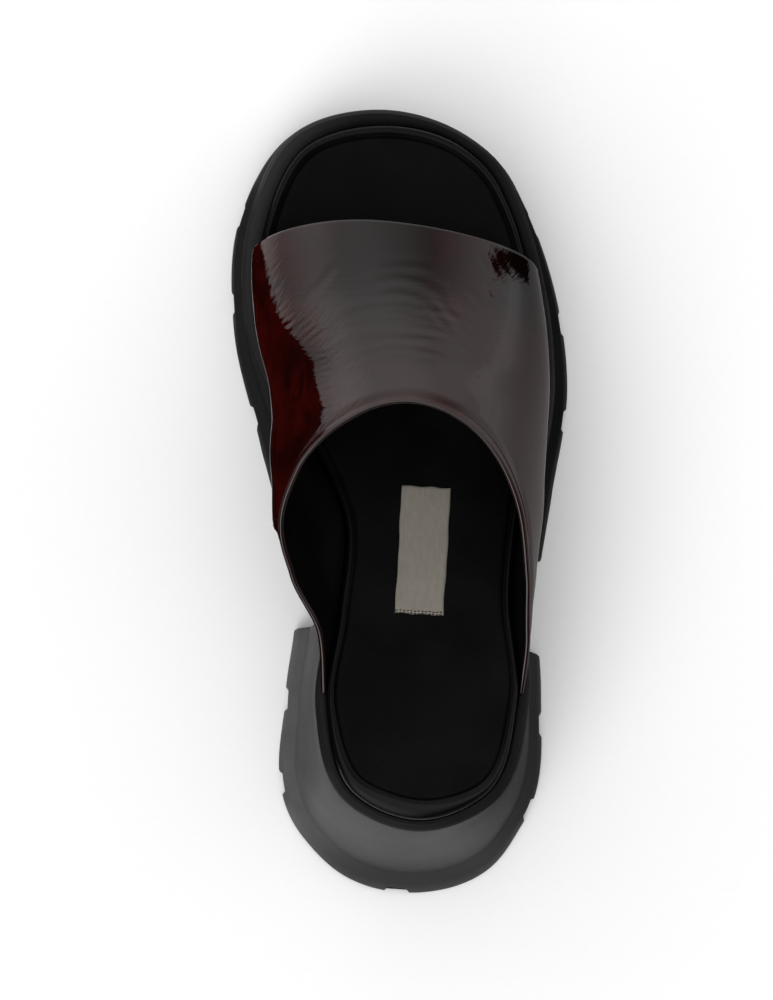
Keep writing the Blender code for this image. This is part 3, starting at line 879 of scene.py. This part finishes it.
def welt():
    """Smooth band under the footbed, with a softened lip and a sloping side."""
    edge = perimeter(PLAN_ROWS)
    rim = edge["rim"]
    bevel = edge["bevel"]
    lip = WELT_LIP
    rings = [ring(edge, distance, rise) for distance, rise in WELT_INSIDE]
    rings += [ring(edge, rim - bevel - 2 * lip, 0.0), ring(edge, rim - bevel - lip, 0.0)]
    for angle in np.radians((25.0, 50.0, 75.0)):
        rings.append(ring(edge, rim - bevel - lip + lip * np.sin(angle), lip * (np.cos(angle) - 1)))
    for share in np.linspace(0.15, 1.0, 6):
        slope = bevel * (1 - share) ** WELT_HOLLOW
        rings.append(ring(edge, rim - slope, -lip + (GAP + lip - WELT) * share))
    rings.append(ring(edge, rim - GAP / 3, GAP / 3 - WELT))
    rings.append(ring(edge, rim - GAP, -WELT))
    # Its third tone is painted sheen down the inner side.
    rubber = rubber_finish(
        "welt_rubber", (0.004, 0.004, 0.0042), (0.008, 0.008, 0.0084), (0.02, 0.02, 0.0203),
        gloss=0.5, shine=0.05, texture=0.00012,
    )
    return ring_piece(
        "welt_band", rings, rubber, "welt",
        over=(2, lambda middle: seat(middle[..., 1]) - WELT_GROOVE),
    )


def footbed():
    """Padded board whose leather rolls over the edge and down into the recess of the sock."""
    edge = perimeter(PLAN_ROWS)
    piping = edge["piping"]
    crest = ROLL_SHARE + ROLL_GROWTH * np.maximum(piping - ROLL_PLAIN, 0.0)
    rings = [ring(edge, -piping - ROLL_TUCK, FOOTBED_SIDE)]
    for share in np.linspace(1.0, 0.0, ROLL_RINGS):
        inward = piping * (1 - crest) * (1 - share)
        bead = BEAD_RISE * np.exp(-((inward - BEAD_IN) / BEAD_WIDTH) ** 2)
        rise = FOOTBED_CREST - (FOOTBED_CREST - ROLL_FOOT) * share ** ROLL_FALL + bead
        rings.append(ring(edge, -piping * (crest + (1 - crest) * share), rise))
    for angle in np.radians(np.linspace(80.0, 0.0, 9)):
        rise = FOOTBED_SIDE + (FOOTBED_CREST - FOOTBED_SIDE) * np.sin(angle)
        rings.append(ring(edge, -piping * crest * (1 - np.cos(angle)), rise))
    for share in shares(7)[1:]:
        rings.append(ring(edge, -FOOTBED_TUCK * share ** 2, FOOTBED_SIDE + (GAP - FOOTBED_SIDE) * share))
    leather = grained_finish(
        "footbed_leather", (0.0016, 0.0016, 0.0018), (0.003, 0.003, 0.0033),
        grain=1300.0, grain_depth=0.00006, gloss=0.3, shine=0.055, coat=0.03, heel_coat=0.1,
    )
    made = ring_piece("footbed_wrap", rings, leather, "footbed")
    return made


def sock_rise(inset):
    """Height over the seat of the sock's face, from its edge in to its dish."""
    return SOCK_TOP + (SOCK_DISH - SOCK_TOP) * ease(inset, SOCK_ROUND, DISH_INSET)


def sock():
    """Leather sock in the recess: a thin turned edge and a shallow dish."""
    edge = perimeter(PLAN_ROWS)
    border = SOCK_TUCK - edge["piping"]
    rings = []
    for inset in np.append(np.linspace(DISH_INSET, SOCK_ROUND, 9), np.linspace(0.75, 0.0, 6) * SOCK_ROUND):
        turned = (SOCK_EDGE - SOCK_TOP) * (1 - ease(inset, 0.0, SOCK_ROUND))
        rings.append(ring(edge, border - inset, sock_rise(inset) + turned))
    rings.append(ring(edge, border, FOOTBED_SIDE + GAP))
    leather = grained_finish(
        "sock_leather", (0.0008, 0.0008, 0.0010), (0.0030, 0.0030, 0.0036),
        grain=1100.0, grain_depth=0.00008, gloss=0.5, shine=0.035, coat=0.0,
    )
    return ring_piece(
        "sock_liner", rings, leather, "sock",
        over=(SOCK_COLUMNS, lambda middle: seat(middle[..., 1]) + SOCK_DISH),
    )


def footbed_sides(y):
    """Inner and outer edge of the footbed where the foot's length is y."""
    outer, inner = split_curve()
    count = len(CURVE["y"])
    sides = []
    for half in (inner, outer):
        along = CURVE["y"][half % count]
        keep = np.arange(int(along.argmax()), int(along.argmin()) + 1)
        sides.append(np.interp(-y, -along[keep], CURVE["x"][half % count][keep]))
    return sides


def last_point(girth, y):
    """Point on the last: girth 0 is its inner base, 0.5 the crown and 1 its outer base."""
    inner, outer = footbed_sides(y)
    on_inner = girth <= 0.5
    base_x = np.where(on_inner, inner - GAP, outer + GAP)
    bulge_x = np.where(on_inner, base_x - last("inner", y), base_x + last("outer", y))
    bulge_z = np.where(on_inner, last("inner_height", y), last("outer_height", y))
    power = np.where(on_inner, 2 / INNER_FULLNESS, 2 / OUTER_FULLNESS)
    climb = np.where(on_inner, 2 * girth, 2 - 2 * girth)
    wall = np.clip(climb / WALL_SHARE, 0.0, 1.0)
    turn = np.clip((climb - WALL_SHARE) / (1 - WALL_SHARE), 0.0, 1.0) * np.pi / 2
    crown_x = last("crown_x", y)
    wall_x = base_x + (bulge_x - base_x) * (1 - (1 - wall) ** 2)
    wall_z = GAP + (bulge_z - GAP) * wall
    arch_x = crown_x + (bulge_x - crown_x) * np.cos(turn) ** power
    arch_z = bulge_z + (last("crown_height", y) - bulge_z) * np.sin(turn) ** power
    low = climb < WALL_SHARE
    return over_seat(np.where(low, wall_x, arch_x), y, np.where(low, wall_z, arch_z))


def last_normal(girth, y):
    """Outward direction of the last, level along its base."""
    turn = 0.004
    run = 0.5
    across = last_point(np.clip(girth + turn, 0, 1), y) - last_point(np.clip(girth - turn, 0, 1), y)
    along = last_point(girth, y + run) - last_point(girth, y - run)
    out = np.cross(across, along)
    out[..., 2] = np.where((girth <= 0.0) | (girth >= 1.0), 0.0, out[..., 2])
    return unit(out)


def front_edge(girth):
    return FRONT_INNER_Y + (FRONT_OUTER_Y - FRONT_INNER_Y) * girth + FRONT_BOW * np.sin(np.pi * girth) ** 2


def collar_edge(girth):
    """Where each line of the band meets the collar, which falls from the crown to the back."""
    peak = last_point(np.array(0.5), np.array(COLLAR_PEAK_Y))[2]
    end = float(seat(np.array(COLLAR_END_Y))) + COLLAR_END_HEIGHT
    near = np.full(girth.shape, COLLAR_PEAK_Y)
    far = np.full(girth.shape, COLLAR_END_Y)
    halvings = 40
    for _ in range(halvings):
        middle = (near + far) / 2
        share = (middle - COLLAR_END_Y) / (COLLAR_PEAK_Y - COLLAR_END_Y)
        lift = np.where(girth < 0.5, smooth(COLLAR_LIFT["y"], COLLAR_LIFT["lift"], middle), 0.0)
        over = last_point(girth, middle)[..., 2] > end + (peak - end) * share + lift
        far = np.where(over, middle, far)
        near = np.where(over, near, middle)
    return far


def crease_paths():
    """Path in plan, width and depth of every crease of the band."""
    share = shares(CREASE_SAMPLES)
    for x1, y1, x2, y2, bow, width, depth in CREASES:
        path_y = y1 + (y2 - y1) * share + bow * 4 * share * (1 - share)
        yield x1 + (x2 - x1) * share, path_y, width, depth
    for x1, y1, x2, y2, count, lean_x, lean_y, width, depth in FANS:
        for number in range(count):
            place = number / (count - 1)
            # Uneven starts, lengths and depths, so that no two creases of a fan match.
            sway = np.sin(2.4 * number)
            reach = 1 + 0.35 * np.sin(4.1 * number + 1.0)
            start_x = x1 + (x2 - x1) * place + 0.8 * sway
            start_y = y1 + (y2 - y1) * place
            path_x = start_x + lean_x * reach * share
            yield path_x, start_y + lean_y * reach * share, width, depth * (0.7 + 0.3 * sway)


def crease_fall(points):
    """How far the creases sink or lift the band's face, in millimetres."""
    fall = np.zeros(points.shape[:-1])
    ahead = points[..., 1] > CREASES_END_Y
    flat = points[ahead][:, :2]
    total = np.zeros(len(flat))
    for path_x, path_y, width, depth in crease_paths():
        reach = 4 * width
        near = (flat[:, 0] > path_x.min() - reach) & (flat[:, 0] < path_x.max() + reach)
        near &= (flat[:, 1] > path_y.min() - reach) & (flat[:, 1] < path_y.max() + reach)
        away = np.hypot(flat[near, 0, None] - path_x, flat[near, 1, None] - path_y)
        nearest = away.argmin(axis=1)
        away = away.min(axis=1)
        taper = np.sin(np.pi * (0.03 + 0.94 * nearest / (len(path_x) - 1))) ** 0.7
        trough = np.exp(-(away / width) ** 2)
        ridge = np.exp(-((away - 2 * width) / width) ** 2)
        total[near] += depth * taper * (CREASE_RIDGE * ridge - trough)
    fall[ahead] = total
    return fall


def edge_distance(points, border):
    """Distance of each point of a grid from a border curve."""
    return np.stack([np.linalg.norm(row[:, None] - border, axis=-1).min(axis=1) for row in points])


def arc_rows(outside, inside, behind, fullness):
    """Rows that round an edge over from the outside to the inside."""
    middle = (outside + inside) / 2
    half = (outside - inside) / 2
    away = np.cross(np.gradient(middle, axis=0), half)
    away *= np.sign(((middle - behind) * away).sum(axis=-1, keepdims=True))
    away = unit(away)
    swell = np.linalg.norm(half, axis=-1, keepdims=True) * fullness
    angles = np.linspace(0.0, np.pi, EDGE_ROWS + 2)[1:-1]
    return np.stack([middle + half * np.cos(angle) + away * swell * np.sin(angle) for angle in angles])


def band_places():
    """Girth, place along the foot and wall of the band, row by row from its front to its collar."""
    girth = shares(UPPER_LINES)
    front = front_edge(girth)
    back = collar_edge(girth)
    line = SEAM_Y - SEAM_RAKE * girth
    seam = np.maximum(line, back + COLLAR_STRIP)
    ahead = shares(VAMP_ROWS)[:, None]
    behind = 1 - (1 - shares(COLLAR_ROWS)[1:, None]) ** COLLAR_CROWDING
    along = np.concatenate((front + (seam - front) * ahead, seam + (back - seam) * behind))
    crossed = (girth < 0.5) & (back < line - SEAM_CLEAR)
    lapped = ease(line - along, *SEAM_LAP)
    wall = VAMP_WALL + (QUARTER_WALL - VAMP_WALL) * np.where(crossed, lapped, 0.0)
    return girth + 0 * along, along, wall


def fray_field(face):
    """How strongly the gloss frays at each place of the band in plan."""
    knots = np.array(FRAY_LINE)
    share = np.linspace(0.0, len(knots) - 1, FRAY_SAMPLES)
    line = np.stack([np.interp(share, np.arange(len(knots)), places) for places in knots.T], axis=1)
    fray = np.exp(-(edge_distance(face, line) / FRAY_REACH) ** 2)
    corner = np.linalg.norm(face - FRAY_CORNER, axis=-1)
    return np.maximum(fray, FRAY_CORNER_SHARE * np.exp(-(corner / FRAY_CORNER_REACH) ** 2))


def band_finishes():
    """Patent, its turned fold at the collar, lining and edge paint, in the order of their places."""
    fold = collar_finish(
        "patent_fold", 420.0, (0.012, 0.0018, 0.0014), (0.026, 0.004, 0.003),
        gloss=(0.12, 0.22), shine=0.2, coat=0.6, coat_gloss=0.08, relief=(0.0003, 0.25),
    )
    lining = grained_finish(
        "lining_leather", (0.0016, 0.0016, 0.0016), (0.003, 0.003, 0.003),
        grain=1500.0, grain_depth=0.00005, gloss=0.45, shine=0.08, coat=0.0,
    )
    edge = collar_finish(
        "collar_edge_paint", 500.0, (0.004, 0.0008, 0.0007), (0.012, 0.0018, 0.0015),
        gloss=(0.3, 0.45), shine=0.0, coat=1.0, coat_gloss=0.06, relief=(0.00005, 0.2),
    )
    return [patent_finish(), fold, lining, edge]


def upper():
    """Band over the foot: creased patent outside, a turned edge at the collar, lining inside."""
    girth, along, wall = band_places()
    inside = last_point(girth, along)
    normal = last_normal(girth, along)
    face = inside + normal * wall[..., None]
    fine = shares(COLLAR_SAMPLES)
    border = last_point(fine, collar_edge(fine)) + last_normal(fine, collar_edge(fine)) * VAMP_WALL
    collar = edge_distance(face, border)
    fold = np.sqrt(np.clip(1 - ((collar - FOLD_WIDTH / 2) / (FOLD_WIDTH / 2)) ** 2, 0.0, 1.0))
    groove = np.exp(-((collar - FOLD_WIDTH - GROOVE_WIDTH) / GROOVE_WIDTH) ** 2)
    beside = ease(np.abs(girth - 0.5), 0.06, 0.22)
    relief = (FOLD_RISE * fold - FOLD_GROOVE * groove) * beside
    relief += crease_fall(face) * ease(collar, *CREASE_FADE)
    relief = relief - (wall - COLLAR_WALL) * (1 - ease(collar, 0.0, SKIVE))
    outside = face + normal * relief[..., None]
    for base in (0, -1):
        outside[:, base, 2] = seat(outside[:, base, 1]) + GAP
    turned = arc_rows(outside[-1], inside[-1], (outside[-8] + inside[-8]) / 2, COLLAR_FULLNESS)
    front = arc_rows(inside[0], outside[0], (outside[3] + inside[3]) / 2, FRONT_FULLNESS)
    rows = len(along)
    grid = np.concatenate((outside, turned, inside[::-1], front))
    levels, lines = grid.shape[:2]
    ids = np.arange(levels * lines).reshape(levels, lines)
    faces = grid_faces(np.concatenate((ids, ids[:1])))
    plain = np.zeros((levels - rows, lines))
    reach = np.concatenate((collar, plain))
    level = np.repeat(np.arange(levels), lines - 1)
    near = ((reach[:, :-1] + reach[:, 1:]) / 2).reshape(-1)
    lining = (level >= rows + EDGE_ROWS) & (level < 2 * rows + EDGE_ROWS)
    edge = (level >= rows - 1) & (level < rows + EDGE_ROWS)
    folded = (level < rows - 1) & (near < FOLD_WIDTH + FOLD_OVERLAP)
    zones = np.select((lining, edge, folded), (LINING, EDGE, FOLD), PATENT).tolist()
    for line, order in ((0, 1), (lines - 1, -1)):
        for row in range(rows - 1):
            across = 2 * rows + EDGE_ROWS - 1 - row
            faces.append([int(ids[place, line]) for place in (row, row + 1, across - 1, across)][::order])
            zones.append(PATENT)
        for first in (rows - 1, 2 * rows + EDGE_ROWS - 1):
            places = [(first + step) % levels for step in range(EDGE_ROWS + 2)]
            faces.append([int(ids[place, line]) for place in places][::order])
            zones.append(PATENT)
    # Where the patent's base is painted lighter and redder: the inner wall, less towards the toe and none
    # behind the seam.
    inner_wall = (1 - ease(girth, 0.22, 0.46)) * (1 - 0.5 * ease(along, 55.0, 75.0))
    inner_wall *= ease(along, -16.0, 10.0)
    fray = fray_field(outside[..., :2])
    fields = {
        "inner_wall": np.concatenate((inner_wall, plain)).reshape(-1),
        "fray": np.concatenate((fray, plain)).reshape(-1),
    }
    points = grid.reshape(-1, 3)
    return piece("upper_band", points, faces, band_finishes(), "upper", zones, fields)


def stitches(name, places, ups, runs, length, radius, finish):
    """Row of sewn stitches: each a short plump thread that dips into the leather at both ends."""
    around = np.linspace(0.0, 2 * np.pi, STITCH_SPOKES + 1)[:-1]
    count = STITCH_RINGS * STITCH_SPOKES
    thread = loop_faces(STITCH_RINGS, STITCH_SPOKES)
    thread += [list(range(STITCH_SPOKES))[::-1], list(range(count - STITCH_SPOKES, count))]
    points = []
    faces = []
    for place, up, run in zip(places, ups, runs):
        side = np.cross(run, up)
        faces += [[len(points) + corner for corner in face] for face in thread]
        for stage in np.linspace(-1.0, 1.0, STITCH_RINGS):
            thick = radius * np.sqrt(1.02 - stage ** 2)
            centre = place + run * stage * length / 2 + up * radius * (0.9 - 1.5 * stage ** 2)
            points += [centre + (side * np.cos(a) + up * np.sin(a)) * thick for a in around]
    return piece(name, np.array(points), faces, [finish])


def sew(name, path, normal, sewing, finish):
    """Stitches along a path on a face. sewing: their pitch, length and radius."""
    pitch, length, radius = sewing
    travel = np.append(0.0, np.cumsum(np.linalg.norm(np.diff(path, axis=0), axis=1)))
    stops = np.arange(pitch / 2, travel[-1], pitch)
    along = np.gradient(path, axis=0)
    places, ups, runs = (
        np.stack([np.interp(stops, travel, values[:, axis]) for axis in range(3)], axis=1)
        for values in (path, normal, along)
    )
    return stitches(name, places, ups, unit(runs), length, radius, finish)


def seam_stitches():
    """Two rows of stitches along the lap seam on the inner side."""
    fine = np.linspace(0.0, 0.5, SEAM_SAMPLES)
    thread = thread_finish("seam_thread", (0.012, 0.002, 0.002), (0.03, 0.005, 0.005))
    for number, ahead in enumerate(SEAM_SEWING_ROWS):
        y = SEAM_Y - SEAM_RAKE * fine + ahead
        keep = (collar_edge(fine) < y - SEAM_SEWING_CLEAR) & (fine > SEAM_SEWING_BASE)
        normal = last_normal(fine[keep], y[keep])
        path = last_point(fine[keep], y[keep]) + normal * (VAMP_WALL - SEAM_SEWING_SINK)
        sew("seam_stitches_" + str(number), path, normal, SEAM_SEWING, thread)


def sock_stitches():
    """Fine stitches all round the sock, just inside its edge."""
    edge = perimeter(PLAN_ROWS)
    inset = SOCK_STITCH_INSET
    path = ring(edge, SOCK_TUCK - edge["piping"] - inset, sock_rise(inset) - SOCK_STITCH_SINK)
    path = np.concatenate((path, path[:1]))
    normal = np.tile(UP, (len(path), 1))
    thread = thread_finish("sock_thread", (0.001, 0.001, 0.001), (0.004, 0.004, 0.004), 0.1)
    sew("sock_stitches", path, normal, SOCK_SEWING, thread)


def label_place(across, along):
    """Place in plan of a point of the label."""
    x = LABEL_X + np.cos(LABEL_TURN) * across - np.sin(LABEL_TURN) * along
    y = LABEL_Y + np.sin(LABEL_TURN) * across + np.cos(LABEL_TURN) * along
    return x, y


def label():
    """Plain woven tab with softly rounded edges, sewn down at the heel end."""
    columns = np.linspace(-0.5, 0.5, LABEL_COLUMNS)
    across, along = np.meshgrid(columns, np.linspace(-0.5, 0.5, LABEL_ROWS))
    # Its edges and its face waver a little, as woven tape does.
    ragged = 0.12 * np.sin(9.0 * along + 2.0) + 0.08 * np.sin(23.0 * along)
    flat_x = across * LABEL_WIDTH * (1 + 0.01 * np.sin(5 * along)) + ragged * np.abs(2 * across) ** 6
    flat_y = along * LABEL_LENGTH + 0.15 * np.sin(14.0 * across) * np.abs(2 * along) ** 8
    x, y = label_place(flat_x, flat_y)
    end = (0.5 - np.abs(along)) * LABEL_LENGTH
    sewn = np.exp(-((end - 0.6) / 0.7) ** 2) * (along < 0)
    wave = 0.06 * np.sin(3.0 * across + 7.0 * along) + 0.04 * np.sin(17.0 * along)
    side = np.abs(2 * across) * LABEL_WIDTH - LABEL_WIDTH
    rim = np.clip(np.maximum(side + LABEL_RIM, LABEL_RIM - end), 0.0, LABEL_RIM)
    top = SOCK_DISH + GAP + LABEL_THICK + wave - 0.22 * sewn - 0.35 * (rim / LABEL_RIM) ** 2
    shift = LABEL_ROWS * LABEL_COLUMNS
    grid = np.arange(shift).reshape(LABEL_ROWS, LABEL_COLUMNS)
    faces = grid_faces(grid)
    faces += [[corner + shift for corner in face[::-1]] for face in faces]
    border = np.concatenate((grid[0, :-1], grid[:-1, -1], grid[-1, :0:-1], grid[:0:-1, 0]))
    for here, following in zip(border.tolist(), np.roll(border, -1).tolist()):
        faces.append([following, here, here + shift, following + shift])
    points = np.concatenate((over_seat(x, y, top), over_seat(x, y, SOCK_DISH + LABEL_UNDER))).reshape(-1, 3)
    fields = {"across": np.tile(flat_x.reshape(-1), 2), "along": np.tile(flat_y.reshape(-1), 2)}
    made = piece("label_tab", points, faces, [weave_finish()], "label", None, fields)
    thread = thread_finish("label_thread", (0.006, 0.006, 0.006), (0.02, 0.02, 0.018))
    steps = np.linspace(-0.5, 0.5, 60) * LABEL_WIDTH
    sewing = []
    for number, inset in enumerate(LABEL_SEWING_ROWS):
        sway = 0.12 * np.sin(1.9 * steps + number)
        x, y = label_place(steps, inset - LABEL_LENGTH / 2 + sway)
        path = over_seat(x, y, SOCK_DISH + GAP + LABEL_THICK - LABEL_STITCH_SINK)
        normal = np.tile(UP, (len(path), 1))
        name = "label_stitches_" + str(number)
        sewing.append(sew(name, path, normal, LABEL_SEWING, thread))
    return made, sewing


def paper_floor():
    """Pale paper under the shoe."""
    paper, finish = new_finish("floor_paper")
    fibre = finish.noise(finish.place(), 400.0, 3.0)
    finish.surface({
        "Base Color": finish.blend(fibre, (0.90, 0.90, 0.90), (0.92, 0.92, 0.92)),
        "Roughness": 0.9,
        "Specular IOR Level": 0.2,
    })
    corners = np.array(((-1, -1, 0), (1, -1, 0), (1, 1, 0), (-1, 1, 0))) * FLOOR_REACH
    mesh_object("floor", corners + CENTRE, [(0, 1, 2, 3)], [paper])


def gloss_card(name, points, faces, tone):
    """A matt card beside the shoe that shows in its gloss alone, a painted reflection. tone: gives its
    colour.
    """
    cloth, finish = new_finish(name + "_cloth")
    finish.surface({"Base Color": tone(finish), "Roughness": 1.0, "Specular IOR Level": 0.0})
    card = mesh_object(name, points, faces, [cloth])
    card.visible_camera = False
    card.visible_diffuse = False
    card.visible_shadow = False


def beside_sole(half, y):
    """Places just clear of the sole, along its outer or its inner half."""
    edge_x, edge_y = offset(CURVE, CURVE["rim"] + CURVE["flare"] + CARD_CLEAR)
    places = half % len(edge_y)
    return np.interp(-y, -edge_y[places], edge_x[places])


def flag():
    """Black cloth over the floor and upright beside the inner wall, with a patch off the outer corner: seen
    in the gloss alone, it paints dark reflections, and over the floor reflected shade.
    """
    y, top = np.array(FLAG_ROWS).T
    upright = np.full(len(y), FLAG_X)
    level = np.full(len(y), CARD_LIFT)
    lines = ((beside_sole(split_curve()[1], y), y, level), (upright, y, level), (upright, y, top))
    points = np.stack([np.stack(line, axis=1) for line in lines], axis=1).reshape(-1, 3)
    faces = grid_faces(np.arange(len(points)).reshape(-1, len(lines)))
    faces.append([len(points) + corner for corner in range(len(CORNER_CLOTH))])
    points = np.concatenate((points, [(CORNER_X, *corner) for corner in CORNER_CLOTH]))
    gloss_card("flag", points, faces, lambda finish: (0.004, 0.003, 0.003))


def bounce_tone(finish):
    """Grey, dark beside the shoe as painted shade of the floor seen in the gloss, and as pale as the floor
    towards the toe.
    """
    place = finish.place()
    across = finish.axis(place, "X")
    beside, far, toe = BOUNCE_TONES
    away = finish.blend(finish.fade(across, *BOUNCE_AWAY), beside, far)
    ahead = finish.fade(finish.axis(place, "Y") - across * BOUNCE_SLANT, *BOUNCE_AHEAD)
    return finish.blend(ahead, away, toe)


def bounce():
    """Grey card over the floor on the outer side, seen in the gloss alone: painted reflected shade."""
    y = np.array(BOUNCE_ROWS)
    x = beside_sole(split_curve()[0], y)
    level = np.full(len(y), CARD_LIFT)
    points = np.concatenate([np.stack((x + width, y, level), axis=1) for width in (0.0, BOUNCE_WIDTH)])
    gloss_card("bounce", points, grid_faces(np.arange(len(points)).reshape(2, -1)), bounce_tone)


def studio_light():
    """Soft panels round the shoe, and a pale backdrop for the camera."""
    world = bpy.data.worlds.new("studio_light")
    world.use_nodes = True
    bpy.context.scene.world = world
    light = Finish(world.node_tree)
    heading = light.node("ShaderNodeTexCoord", {}, {}, "Generated")
    glow = AMBIENT
    for *angles, strength in LIGHTS:
        turn, rise, spread, core = np.radians(angles)
        axis = (np.sin(turn) * np.cos(rise), np.cos(turn) * np.cos(rise), np.sin(rise))
        sockets = {0: heading, 1: axis}
        facing = light.node("ShaderNodeVectorMath", {"operation": "DOT_PRODUCT"}, sockets, "Value")
        glow = light.fade(facing, np.cos(spread), np.cos(core), 0.0, strength) + glow
    seen = light.node("ShaderNodeLightPath", {}, {}, "Is Camera Ray")
    strength = glow * (1 - seen) + seen * BACKDROP
    back = light.node("ShaderNodeBackground", {}, {"Color": (1.0, 1.0, 1.0), "Strength": strength})
    light.node("ShaderNodeOutputWorld", {}, {"Surface": back})


def camera():
    """Straight down over the shoe, toe up."""
    lens = bpy.data.cameras.new("overhead")
    lens.sensor_width = CAMERA_SENSOR
    lens.lens = CAMERA_LENS
    view = bpy.data.objects.new("overhead", lens)
    view.location = (-CENTRE[0] * MM, -CENTRE[1] * MM, CAMERA_HEIGHT)
    bpy.context.collection.objects.link(view)
    bpy.context.scene.camera = view
    bpy.context.scene.view_settings.view_transform = "Standard"


camera()
paper_floor()
flag()
bounce()
studio_light()
outsole()
welt()
footbed()
sock_piece = sock()
upper()
seam_stitches()
sock_stitches()
label_piece, label_sewing = label()
